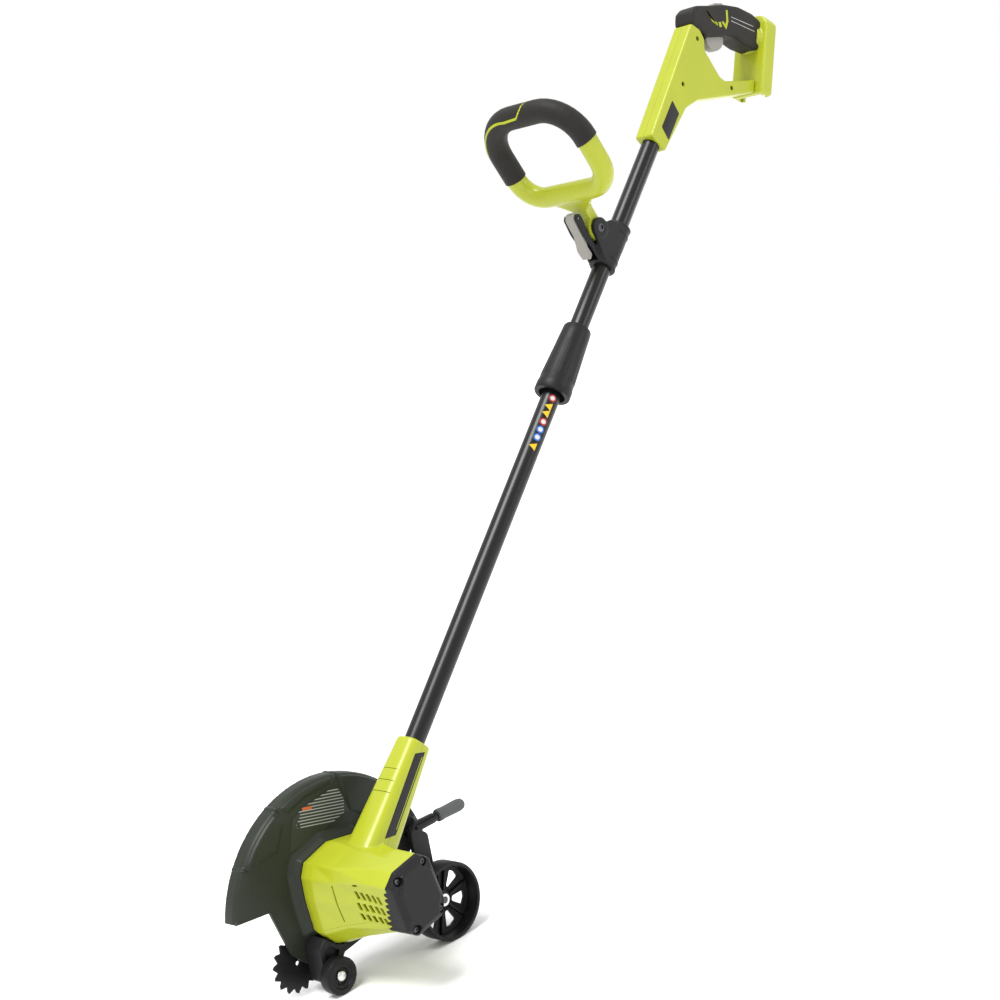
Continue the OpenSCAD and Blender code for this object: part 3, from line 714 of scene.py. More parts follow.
def housing_loft(wall=0.0, end=151.0):
    """The motor housing's skin, or with a wall, the space inside it"""
    foot = inset(HOUSING_FOOT, HOUSING_CENTRE, wall)
    waist = inset(HOUSING_WAIST, HOUSING_CENTRE, wall)
    start = 8.0 if wall else 10.0
    return loft([
        at_depth(scaled(foot, HOUSING_CENTRE, 0.965), start),
        at_depth(foot, 19), at_depth(foot, 30), at_depth(waist, 60),
        leaned(CAP_RING, 112, 1.2 - wall), leaned(CAP_RING, end, -wall)])


def joint_mask(side, gap=0.0):
    """What lies beyond the toothed joint of housing and end cap, or before it, in the cap's frame"""
    line = [(60, 146), (44, 143.5), (32, 139.5), (26, 137)]
    teeth = []
    for i in range(7):
        top = 22 - 7.4 * i
        base = 135.5 - 2.2 * i
        teeth += [(top, base + 2.2), (top - 2.2, base - 3.4), (top - 5.4, base - 3.4),
                  (top - 7.0, base + 0.2)]
    line += teeth + [(-33, 122), (-60, 119)]
    line = [(z, y + gap) for z, y in line]
    far = [(-60, 200), (60, 200)] if side > 0 else [(-60, -20), (60, -20)]
    bm = plate([(y, z) for z, y in line + far], -60, 60)
    return moved(bm, Matrix(((0, 1, 0, 0), (1, 0, 0, 0), (0, 0, 1, 0), (0, 0, 0, 1))))


def neck_ring(s, half_q, half_y, power=3.4, count=28):
    ring = []
    for k in range(count):
        a = math.tau * k / count
        c, n = math.cos(a), math.sin(a)
        q = half_q * math.copysign(abs(c) ** (2 / power), c)
        y = half_y * math.copysign(abs(n) ** (2 / power), n)
        ring.append(Vector((q, y, s)))
    return ring


# ---------------------------------------------------------------------------------------------
# Operators: one for each piece or group of like pieces
# ---------------------------------------------------------------------------------------------
class EDGER_OT_guard(bpy.types.Operator):
    """Blade guard with its domed face, rim, pads, ribs and boss"""
    bl_idname = "edger.guard"
    bl_label = "Guard"

    def execute(self, context):
        face = turned([(GUARD_R, -GUARD_W), (GUARD_R, -7), (141.4, -2.6), (137.5, -0.4), (128, 0), (60, 0.6),
                       (0.01, 0.6), (0.01, -3), (136.5, -3.2), (139.3, -6), (139.7, -9), (139.7, -GUARD_W)],
                      128, closed=True)
        moved(face, Matrix.Translation((0, 0, SPINDLE_Z)))
        boss = ((1.16, -1.5), (1.12, 1.2), (1.06, 3.2), (1.01, 7.5), (0.985, 10.0))
        join(face, loft([at_depth(scaled(HOUSING_FOOT, HOUSING_CENTRE, share), y) for share, y in boss]))
        pads = ((38, 63, [(56.4, 192.6), (70.1, 166.9), (94, 164.1)], 1.6),
                (68, 99, [(-20, 213), (20, 210), (46, 202)], 1.5),
                (104, 158, [(-104, 118), (-62, 156), (-36, 176)], 1.5))
        for start, stop, inner, high in pads:
            join(face, plate(arc((0, SPINDLE_Z), 139, start, stop) + inner, -1, high, 0, 0.7))
        for angle, wide in ((35.5, 2.6), (65.5, 2.4), (101.5, 2.4), (140, 2.4)):
            rib = block((138.5, -20.6, -wide / 2), (144.0, 1.7, wide / 2), 0.8)
            turn = Matrix.Rotation(math.radians(-angle), 4, "Y")
            moved(rib, Matrix.Translation((0, 0, SPINDLE_Z)) @ turn)
            join(face, rib)
        lip = bar_between((95, -1.5, SPINDLE_Z + 26.5), (139.4, -1.5, SPINDLE_Z + 30.9), 2.0)
        join(face, lip)
        join(face, cross_rod(ARM_AT, 8.5, -2.5, 24.0, 40, 1.0))
        obj = soft_mesh(face, BASE, 0.0012, 3, "guard_shell")
        region = [(x, z + SPINDLE_Z) for x, z in GUARD_EDGE] + [(-200, 260), (200, 260), (200, 111)]
        carve(obj, plate(region, -40, 40), BASE, "INTERSECT")
        carve(obj, cross_rod((0, SPINDLE_Z), 13.9, -10, 4), BASE)
        shade(obj, 40)
        finish_piece(obj, "guard_plastic", "head", replaces=["guard"])
        return {"FINISHED"}


class EDGER_OT_housing(bpy.types.Operator):
    """Motor housing and boom neck, in two shells with vents and a toothed end"""
    bl_idname = "edger.housing"
    bl_label = "Housing"

    def execute(self, context):
        skin = housing_loft()
        neck = loft([neck_ring(18, 26, 25), neck_ring(45, 23.4, 22.4), neck_ring(100, 20.6, 19.6),
                     neck_ring(155, 17.6, 16.8), neck_ring(164, 17.2, 16.4), neck_ring(166, 16.2, 15.4)])
        to_base = BASE.inverted() @ BOOM
        join(skin, moved(neck, to_base))
        body = soft_mesh(skin, BASE, sizes().shell_voxel, 5, "housing_body")
        carve(body, housing_loft(sizes().wall / MM, 160), BASE)
        carve(body, joint_mask(1), CAP)
        carve(body, self.openings(), BASE)
        grooves = pattern(lambda: block((-30, -30, -0.35), (30, 30, 0.35)),
                          [Matrix.Translation((47.4, 0, s)) for s in (98, 112, 126)])
        carve(body, grooves, BOOM)
        carve(body, self.strip_shape(0.0, 3.0, 0.35), BOOM)
        forward = (BOOM.to_3x3() @ Vector((1, 0, 0))).normalized()
        for side, name in ((1, "housing_front"), (-1, "housing_rear")):
            half = half_of(body, name, BOOM.translation + side * sizes().parting * forward, side * forward)
            shade(half, 38)
            finish_piece(half, "lime_plastic", "head", replaces=[name + "_shell"])
        clear_piece(body)
        piece("neck_strip_film", self.strip_shape(0.0, 1.3, 0.0), BOOM, "plate_film", "head",
              ["neck_strip"])
        line = plate([(-4.9, 66), (-4.0, 64.5), (-4.0, 150), (-4.9, 152)], 1.1, 1.45, 0.3, 0.1)
        piece("neck_strip_line", moved(line, self.on_flank()), BOOM, "lime_print", "head")
        return {"FINISHED"}

    @staticmethod
    def on_flank():
        """Frame of the neck's motor-side face, which tapers up the boom"""
        foot, foot_half, top, top_half, sunk = 45, 22.4, 155, 16.8, 1.2
        taper = Matrix.Rotation(math.atan((foot_half - top_half) / (top - foot)), 4, "X")
        return Matrix.Translation((0, foot_half - sunk, foot)) @ taper @ Matrix.Translation((0, 0, -foot))

    def strip_shape(self, low, high, grow):
        shape = plate([(-6.4 - grow, 60 - grow), (6.4 + grow, 50 - grow), (6.4 + grow, 150 + grow),
                       (-6.4 - grow, 158 + grow)], low, high, 1.2, 0.0 if grow else 0.2)
        return moved(shape, self.on_flank())

    @staticmethod
    def openings():
        """Slanted vents in three rows, a dash above them and the long slit on the front face"""
        def slot(y, z, wide, high, slant=0.0):
            bm = block((20, -wide / 2, -high / 2), (70, wide / 2, high / 2))
            shear = Matrix(((1, 0, 0, 0), (0, 1, slant, 0), (0, 0, 1, 0), (0, 0, 0, 1)))
            return moved(bm, Matrix.Translation((0, y, z)) @ shear)
        bm = fresh()
        for row, (z, high) in enumerate(((119.0, 9.5), (105.6, 9.0), (93.0, 8.0))):
            for i in range(5):
                join(bm, slot(90.5 + 7.6 * i - 1.0 * row, z - 0.9 * i, 4.4, high, -0.24))
        join(bm, slot(91.5, 130.4, 7.0, 2.2))
        join(bm, slot(59.5, 106, 1.9, 43, -0.06))
        return bm


class EDGER_OT_end_cap(bpy.types.Operator):
    """Dark end cap with chamfered edges, a raised panel and sunk corner screws"""
    bl_idname = "edger.end_cap"
    bl_label = "End cap"

    def execute(self, context):
        cap = loft([leaned(CAP_RING, 100, 0.8), leaned(CAP_RING, 142, 0.3), leaned(CAP_RING, 146.4, -0.6),
                    leaned(CAP_RING, 148.6, -3.4)])
        panel = plate([(14.5, 33), (19, 22), (24.5, 16), (24.5, -16), (19, -22), (14.5, -33), (-14.5, -33),
                       (-19, -22), (-24.5, -16), (-24.5, 16), (-19, 22), (-14.5, 33)], 146, 151.6, 1.6, 1.3, 2)
        join(cap, moved(panel, BASE.inverted() @ CAP))
        body = soft_mesh(cap, BASE, 0.0009, 2, "end_cap_body")
        carve(body, joint_mask(-1, 0.35), CAP)
        screws = [(i * 19.3, j * 29.5) for i in (-1, 1) for j in (-1, 1)]
        for x, z in screws:
            carve(body, cross_rod((x, z), 5.2, 145.4, 160, 36), CAP)
        carve(body, loft([leaned(CAP_RING, 90, -2.4), leaned(CAP_RING, 143.6, -2.6)]), BASE)
        shade(body, 38)
        body.name = "end_cap_moulding"
        finish_piece(body, "dark_plastic", "head", replaces=["end_cap"])
        heads = fresh()
        for x, z in screws:
            join(heads, moved(screw_head(3.3, 2.2), Matrix.Translation((x, 145.6, z))))
            join(heads, cross_rod((x, z), 1.7, 131, 145.8, 24))
        piece("end_cap_screw_heads", heads, CAP, "dark_screws", "head", replaces=["end_cap_screws"])
        return {"FINISHED"}


def screw_head(radius, height):
    """A pan head with a star recess, its seat at local Y = 0 and its face towards +Y"""
    bm = turned([(0.01, 0), (radius, 0), (radius, height * 0.55), (radius * 0.82, height * 0.9),
                 (radius * 0.5, height), (radius * 0.5, height * 0.45), (0.01, height * 0.4)], 24)
    for k in range(6):
        a = math.tau * k / 6
        post = cross_rod((radius * 0.52 * math.cos(a), radius * 0.52 * math.sin(a)), radius * 0.13,
                         height * 0.4, height * 0.97, 10)
        join(bm, post)
    return bm


class EDGER_OT_boom(bpy.types.Operator):
    """Both tubes, the sticker row, the ribbed lock collar"""
    bl_idname = "edger.boom"
    bl_label = "Boom"

    def execute(self, context):
        for name, node, low, high, body in (("boom_tube_lower", "lower_tube", 44, 676, "head"),
                                            ("boom_tube_upper", "upper_tube", 676.5, 1100.5, "upper_boom")):
            wall = turned([(TUBE_R, low + 0.5), (TUBE_R, high - 0.5), (11.6, high), (10.4, high), (10.4, low),
                           (11.6, low)], 72, closed=True)
            moved(wall, Matrix.Rotation(math.pi / 2, 4, "X"))
            piece(name, wall, BOOM, "tube_paint", body, replaces=[node])
        self.stickers()
        self.collar()
        return {"FINISHED"}

    @staticmethod
    def wrapped(bm, thick, s):
        """A flat shape made a film and laid round the lower tube, at one place up the boom"""
        turn, lift = math.radians(62), 0.02
        thickened(bm, bm.faces[:], (0, 0, thick))
        for vert in bm.verts:
            angle = turn + vert.co.x / TUBE_R
            radius = TUBE_R + lift + vert.co.z
            vert.co = Vector((radius * math.cos(angle), radius * math.sin(angle), s + vert.co.y))
        return bm

    def stickers(self):
        """Plain coloured discs and wedges on the lower tube, the discs with a pale dot"""
        rows = [("red_print", "disc", 622), ("amber_print", "wedge", 610), ("amber_print", "wedge", 600),
                ("red_print", "disc", 588), ("blue_print", "disc", 577), ("blue_print", "disc", 566),
                ("amber_print", "wedge", 553)]
        for i, (finish, shape, s) in enumerate(rows):
            name, disc = "tube_sticker_%d" % (i + 1), shape == "disc"
            bm = fresh()
            bmesh.ops.create_circle(bm, cap_ends=True, segments=24 if disc else 3, radius=4.9 if disc else 6.0)
            bmesh.ops.inset_region(bm, faces=bm.faces[:], thickness=1.1, depth=0)
            if not disc:
                bmesh.ops.subdivide_edges(bm, edges=bm.edges[:], cuts=4, use_grid_fill=True)
            bmesh.ops.triangulate(bm, faces=bm.faces[:])
            bmesh.ops.subdivide_edges(bm, edges=bm.edges[:], cuts=1, use_grid_fill=True)
            moved(bm, Matrix.Rotation(0 if disc else math.radians(90), 4, "Z"))
            piece(name, self.wrapped(bm, 0.12, s), BOOM, finish, "head", smooth=60)
            if disc:
                dot = fresh()
                bmesh.ops.create_circle(dot, cap_ends=True, segments=16, radius=3.0)
                bmesh.ops.triangulate(dot, faces=dot.faces[:])
                piece(name + "_dot", self.wrapped(dot, 0.25, s), BOOM, "pale_print", "head",
                      smooth=60)

    def collar(self):
        body = turned([(17.0, 631), (22.2, 631), (23.0, 632.2), (23.0, 643), (22.2, 645.5), (21.4, 664),
                       (18.6, 718), (18.0, 727.5), (17.2, 729), (12.4, 729), (12.4, 683), (15.6, 679),
                       (15.6, 637), (17.0, 635)], 96, closed=True)
        moved(body, Matrix.Rotation(math.pi / 2, 4, "X"))
        ribs = fresh()
        count, lean = 20, math.atan((21.4 - 18.2) / 54)
        on_cone = Matrix.Translation((21.5, 0, 652)) @ Matrix.Rotation(-lean, 4, "Y")
        for k in range(count):
            rib = block((-0.9, -1.1, 0), (0.9, 1.1, 66), 0.5)
            join(ribs, moved(rib, Matrix.Rotation(math.tau * (k + 0.5) / count, 4, "Z") @ on_cone))
        join(body, ribs)
        piece("lock_collar_moulding", body, BOOM, "dark_plastic", "collar_body", replaces=["lock_collar"])


class EDGER_OT_wheels(bpy.types.Operator):
    """Rear wheel, guide wheel, its fork and its domed bolt"""
    bl_idname = "edger.wheels"
    bl_label = "Wheels"

    def execute(self, context):
        self.rear()
        self.guide()
        return {"FINISHED"}

    def rear(self):
        rim = turned([(43.2, 40.5), (44.5, 42.0), (44.5, 62.6), (43.4, 64.2), (40.6, 64.2), (39.9, 63.4),
                      (38.6, 47.5), (35.5, 46.4), (14.0, 46.4), (12.6, 47.0), (10.6, 48.3), (7.0, 48.6),
                      (4.05, 48.6), (4.05, 40.5), (11.0, 40.5), (12.0, 43.0), (36.0, 43.0), (38.0, 40.5)],
                     96, closed=True)
        place = Matrix.Translation((REAR_AT[0], 0, REAR_AT[1]))
        moved(rim, place)
        for k in range(6):
            a = math.radians(60 * k + 48)
            rib = block((10.5, 43.5, -1.5), (39.6, 49.8, 1.5), 0.7)
            join(rim, moved(rib, place @ Matrix.Rotation(-a, 4, "Y")))
        end = (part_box("rear_axle")[1].y - GUARD_FACE) / MM
        nut = turned([(0.01, end - 0.4), (3.95, end - 0.4), (3.95, end + 0.2), (3.2, end + 1.1),
                      (0.01, end + 1.4)], 40)
        piece("rear_axle_cap", moved(nut, place), BASE, "dark_screws", "depth_arm_body")
        wheel = piece("rear_wheel_moulding", rim, BASE, "wheel_plastic", "rear_wheel_body",
                      replaces=["rear_wheel"])
        for k in range(6):
            a = math.radians(60 * k + 18)
            hole = plate([(15.5, -2.6), (32.5, -8.2), (35.0, 0), (32.5, 8.2), (15.5, 2.6)], 38, 60, 1.6)
            carve(wheel, moved(hole, place @ Matrix.Rotation(-a, 4, "Y")), BASE, crossing=not k)
        shade(wheel, 35)

    def guide(self):
        place = Matrix.Translation((GUIDE_AT[0], 0, GUIDE_AT[1]))
        tyre = turned([(3.06, 28), (18.6, 28), (20.1, 28.9), (20.6, 30.5), (20.6, 40.6), (20.1, 42.2),
                       (18.4, 43.2), (14.6, 43.2), (13.9, 42.6), (13.2, 41.4), (9.8, 40.8), (8.6, 38.9),
                       (3.06, 38.9)], 72, closed=True)
        piece("guide_wheel_moulding", moved(tyre, place), BASE, "wheel_plastic", "guide_wheel_body",
              replaces=["guide_wheel"])
        bolt = turned([(0.01, 14), (3.0, 14), (3.0, 39.2), (6.2, 39.2), (6.3, 40.2), (5.6, 41.8), (3.8, 42.9),
                       (0.01, 43.4)], 40)
        piece("guide_wheel_bolt_dome", moved(bolt, place), BASE, "bright_steel", "head",
              replaces=["guide_wheel_bolt"])
        fork = plate([(20, 43.5), (37, 50), (50, 62), (61, 52), (60, 14), (54, 9.5), (44, 9.5), (39, 15),
                      (30, 34)], 0.2, 27, 2.0, 1.2)
        obj = piece("guide_wheel_fork", fork, BASE, "dark_plastic", "head", replaces=["wheel_bracket"])
        carve(obj, plate([(34, 42), (48, 52), (55, 47), (54, 30), (42, 30)], 22.5, 30, 2.0), BASE)
        carve(obj, cross_rod(GUIDE_AT, 3.02, 13, 40), BASE)
        shade(obj, 35)


class EDGER_OT_blade(bpy.types.Operator):
    """Blade bar with a toothed head at each end"""
    bl_idname = "edger.blade"
    bl_label = "Blade"

    def execute(self, context):
        low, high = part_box("blade")[0].y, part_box("blade")[1].y
        low, high = (low - GUARD_FACE) / MM, (high - GUARD_FACE) / MM
        reach, tip, root, teeth = 80.8, 33.4, 27.2, 16
        bm = plate([(-reach, -22), (reach, -22), (reach, 22), (-reach, 22)], low, high, 0, 0.2, 1)
        for side in (0, math.pi):
            outline = []
            for k in range(teeth):
                a = math.tau * k / teeth
                for radius, late in ((tip, 0.0), (tip - 1.5, 0.09), (root, 0.20)):
                    outline.append((radius * math.cos(a + late), radius * math.sin(a + late)))
            head = plate(outline, low, high, 0, 0.25, 1)
            join(bm, moved(head, Matrix.Rotation(side, 4, "Y") @ Matrix.Translation((reach, 0, 0))))
        join(bm, cross_rod((0, 0), 30, low, high, 48, 0.25))
        moved(bm, Matrix.Translation((0, 0, SPINDLE_Z)) @ Matrix.Rotation(BLADE_TURN, 4, "Y"))
        obj = piece("blade_plate", bm, BASE, "blade_steel", "blade_drive", replaces=["blade"])
        carve(obj, cross_rod((0, SPINDLE_Z), 5.02, low - 2, high + 2), BASE, crossing=True)
        for side in (-1, 1):
            at = (side * reach * math.cos(-BLADE_TURN), SPINDLE_Z + side * reach * math.sin(-BLADE_TURN))
            carve(obj, cross_rod(at, 2.5, low - 2, high + 2, 24), BASE)
        shade(obj, 30)
        return {"FINISHED"}


class EDGER_OT_depth_lever(bpy.types.Operator):
    """Depth quadrant, swinging arm with its lever, and the rubber sleeve"""
    bl_idname = "edger.depth_lever"
    bl_label = "Depth lever"

    def execute(self, context):
        sector = plate([(-48.5, 142), (-66, 158), (-92, 152), (-112, 138), (-114, 118), (-92, 98), (-60, 92),
                        (-48.5, 98)], 12, 18, 4.0, 0.9)
        centre = Matrix.Translation((ARM_AT[0], 0, ARM_AT[1]))
        screws = ((-99, 124), (-66, 106))
        for k in range(5):
            a = math.radians(104 + 8 * k)
            notch = block((84, 17, -1.3), (94, 20.2, 1.3), 0.6)
            join(sector, moved(notch, centre @ Matrix.Rotation(-a, 4, "Y")))
        for at in screws:
            join(sector, cross_rod(at, 6.0, 0.2, 12.5, 32, 0.6))
        obj = piece("depth_quadrant_moulding", sector, BASE, "dark_plastic", "head",
                    replaces=["depth_quadrant"])
        for at in screws:
            carve(obj, cross_rod(at, 2.52, -1, 30, 32), BASE, crossing=True)
        shade(obj, 35)

        arm = plate([(-44, 46), (-103, 33), (-117, 46), (-117, 118), (-109, 125), (-134, 125.5), (-134, 136.5),
                     (-104, 137), (-92, 126), (-92, 72), (-82, 63), (-44, 67)], 25, 31, 3.0, 1.0)
        for at in (ARM_AT, REAR_AT):
            join(arm, cross_rod(at, 12, 25, 31.2, 48, 1.0))
        join(arm, block((-134, 29, 128.5), (-100, 34.5, 133.5), 1.2))
        lever_y, lever_z = 28, 131
        backwards = Matrix.Translation((-130, lever_y, lever_z)) @ Matrix.Rotation(-math.pi / 2, 4, "Y")
        join(arm, moved(rod(4.0, 0, 40, 32, 0.6), backwards))
        for k in range(3):
            join(arm, block((-128, 23.2, 127.4 + 3 * k), (-104, 24.9, 128.8 + 3 * k), 0.4))
        obj = piece("depth_arm_bar", arm, BASE, "dark_plastic", "depth_arm_body", replaces=["depth_arm"])
        carve(obj, cross_rod(ARM_AT, 4.05, 20, 40, 40), BASE, crossing=True)
        carve(obj, cross_rod(REAR_AT, 4.0, 20, 40, 40), BASE)
        shade(obj, 35)

        sleeve = turned([(4.02, 137.6), (6.9, 137.6), (7.5, 138.6), (7.6, 142), (7.1, 147), (7.2, 155), (7.5, 168),
                         (7.4, 173), (6.6, 177), (4.8, 179.2), (2.4, 180.1), (0.01, 180.3), (0.01, 172.2),
                         (4.02, 172.2)], 48)
        moved(sleeve, Matrix.Translation((0, lever_y, lever_z)) @ Matrix.Rotation(math.pi / 2, 4, "Z"))
        piece("depth_lever_sleeve", sleeve, BASE, "lever_rubber", "depth_arm_body",
              replaces=["depth_lever_grip"])
        return {"FINISHED"}


class EDGER_OT_front_handle(bpy.types.Operator):
    """Loop frame, its rubber grip with the inlay, the clamp and the cam lever"""
    bl_idname = "edger.front_handle"
    bl_label = "Front handle"

    LOW, HIGH, HALF, LOW_R, TOP_R = 57.0, 174.0, 70.0, 33.0, 48.0

    def line(self, step=7.0):
        """Centre line of the loop from the lower right, round the top, back to the lower right"""
        h, lo, hi, lr, tr = self.HALF, self.LOW, self.HIGH, self.LOW_R, self.TOP_R

        def bend(cy, ct, r, start, stop):
            count = max(3, int(r * math.radians(abs(stop - start)) / step))
            return [(0, *p) for p in arc((cy, ct), r, start, stop, count)]

        return (bend(h - lr, lo + lr, lr, -90, 0) + bend(h - tr, hi - tr, tr, 0, 90)
                + bend(-h + tr, hi - tr, tr, 90, 180) + bend(-h + lr, lo + lr, lr, 180, 270))

    def execute(self, context):
        path = self.line()
        frame_bm = swept(path, 13.2, 28)
        reach = self.HALF - self.LOW_R + 1
        join(frame_bm, bar_between((0, -reach, self.LOW), (0, reach, self.LOW), 13.3))
        stem = ((-9, 8, 50, 58), (-10.5, 4.5, 25, 41), (-11.5, 3.5, 12, 31), (-12, 3, 9.6, 24),
                (-12, 3, 9.6, 4))
        join(frame_bm, loft([[Vector((back, -wide, z)), Vector((front, -wide, z)), Vector((front, wide, z)),
                              Vector((back, wide, z))] for back, front, wide, z in stem]))
        join(frame_bm, cross_rod((0, 0), 14.8, -9.6, 9.6, 64, 0.8))
        body = soft_mesh(frame_bm, LOOP, 0.0013, 5, "loop_handle_frame")
        carve(body, cross_rod((0, 0), 4.06, -20, 20, 40), LOOP)
        for k in range(5):
            a = math.radians(-28 + 27 * k)
            pocket = block((12.2, -6.5, -2.6), (16.5, 6.5, 2.6), 0.7)
            carve(body, moved(pocket, Matrix.Rotation(a, 4, "Y")), LOOP)
        shade(body, 40)
        finish_piece(body, "lime_plastic", "front_handle", replaces=["loop_frame"])
        grip = swept(path, 14.7, 32)
        sleeve = soft_mesh(grip, LOOP, 0.0012, 3, "loop_handle_grip")
        carve(sleeve, self.grip_region(), LOOP, "INTERSECT")
        carve(sleeve, self.inlay(2.3), LOOP, crossing=True)
        shade(sleeve, 40)
        finish_piece(sleeve, "grip_rubber", "front_handle", replaces=["loop_grip"])
        piece("loop_handle_inlay", self.inlay(2.1), LOOP, "lime_print", "front_handle")
        self.clamp()
        self.cam()
        return {"FINISHED"}

    @staticmethod
    def grip_region():
        """The part of the loop that the rubber covers, as a thick plate across the loop"""
        outline = [(-120, 92), (-40, 92), (-40, 128), (40, 128), (46, 118), (120, 132), (120, 230),
                   (-120, 230)]
        bm = plate(outline, -60, 60)
        return moved(bm, Matrix.Rotation(math.pi / 2, 4, "Z"))

    def inlay(self, half):
        """The lime line let into the rubber: along the top, up to a notch near the middle"""
        path = [p for p in self.line(5.0) if p[2] > 132]
        left = [p for p in path if p[1] < -4]
        centre = Vector((0, -self.HALF + self.TOP_R, self.HIGH - self.TOP_R))
        outer = []
        for p in left:
            out = (Vector(p) - centre) if p[1] < centre.y else Vector((0, 0, 1))
            out = Vector((0, out.y, out.z)).normalized()
            way = (out * (0.2 + 0.6 * abs(out.y)) + Vector((1, 0, 0))).normalized()
            outer.append(Vector(p) + way * 13.2)
        notch = [Vector((x, y, self.HIGH + up)) for x, y, up in
                 ((12.6, 0, 3.6), (9.2, 6, 9.4), (3.0, 9, 12.9), (-5.0, 12, 12.2))]
        line = list(reversed(outer)) + notch
        bm = fresh()
        for a, b in zip(line, line[1:]):
            join(bm, bar_between(a, b, half, 10))
        return bm

    BOLT_AT = (40, 0)
    CAM_PIN_AT = (74, -11)

    def clamp(self):
        """The clamp on the boom, with an ear and a cam arm each side, and its pivot bolt"""
        body = fresh()
        join(body, rod(16.6, -33, 33, 72, 1.2))
        for z in (-31, -20, 20, 31):
            join(body, rod(17.4, z - 1.2, z + 1.2, 72, 0.4))
        for side in (-1, 1):
            y0, y1 = sorted((10.2 * side, 15.2 * side))
            ear = plate([(8, -32), (18, -28), (50, -8), (53, 0), (51, 8), (44, 13), (36, 13), (14, 28), (8, 31)],
                        y0, y1, 4.0, 1.0)
            join(body, ear)
            join(body, cross_rod(self.BOLT_AT, 13.2, y0, y1 + (0.8 if side > 0 else 0), 56, 0.9))
            y0, y1 = sorted((7.4 * side, 10.4 * side))
            arm = plate([(13, -33), (60, -24), (79, -16), (81, -10), (76, -5), (70, -6), (48, -17.5), (13, -23)],
                        y0, y1, 1.0, 0.6)
            join(body, arm)
        obj = soft_mesh(body, CLAMP, 0.0010, 3, "handle_clamp_body")
        carve(obj, rod(TUBE_R + 0.03, -60, 60, 72), CLAMP)
        for radius, low, high, steps in ((15.9, -9.9, 9.9, 56), (6.3, 14.0, 30, 40), (4.0, -30, 30, 40)):
            carve(obj, cross_rod(self.BOLT_AT, radius, low, high, steps), CLAMP)
        carve(obj, cross_rod(self.CAM_PIN_AT, 2.0, -30, 30, 24), CLAMP)
        carve(obj, block((-30, -0.8, -60), (-8, 0.8, 60)), CLAMP)
        shade(obj, 40)
        obj.name = "handle_clamp"
        finish_piece(obj, "dark_plastic", "upper_boom", replaces=["handle_bracket"])
        bolt = cross_rod(self.BOLT_AT, 4.0, -15.5, 15.0, 40)
        join(bolt, moved(screw_head(6.0, 3.0), Matrix.Translation((40, 14.2, 0))))
        nut = fresh()
        bmesh.ops.create_cone(nut, cap_ends=True, segments=6, radius1=6.6, radius2=6.6, depth=2.4)
        across = Matrix.Rotation(math.pi / 2, 4, "X")
        join(bolt, moved(nut, Matrix.Translation((40, -16.4, 0)) @ across))
        piece("clamp_pivot_bolt", bolt, CLAMP, "dark_screws", "upper_boom", replaces=["bracket_pin"])

    def cam(self):
        shape = plate([(27.5, -40), (42, -37.5), (57, -25), (79, -17.5), (82.5, -11), (80, -5), (72, -4.5),
                       (56, -16), (41, -29), (29, -32)], -6.8, 6.8, 2.0, 1.6, 4)
        obj = piece("cam_lever_moulding", shape, CLAMP, "pale_plastic", "cam_body", replaces=["cam_lever"])
        carve(obj, cross_rod(self.CAM_PIN_AT, 2.04, -20, 20, 24), CLAMP)
        hollow = [(34, -37.2), (44, -34.5), (58, -22.5), (66, -18.5), (64, -14), (50, -24)]
        carve(obj, plate(hollow, -4.2, 4.2, 1.0), CLAMP)
        shade(obj, 35)


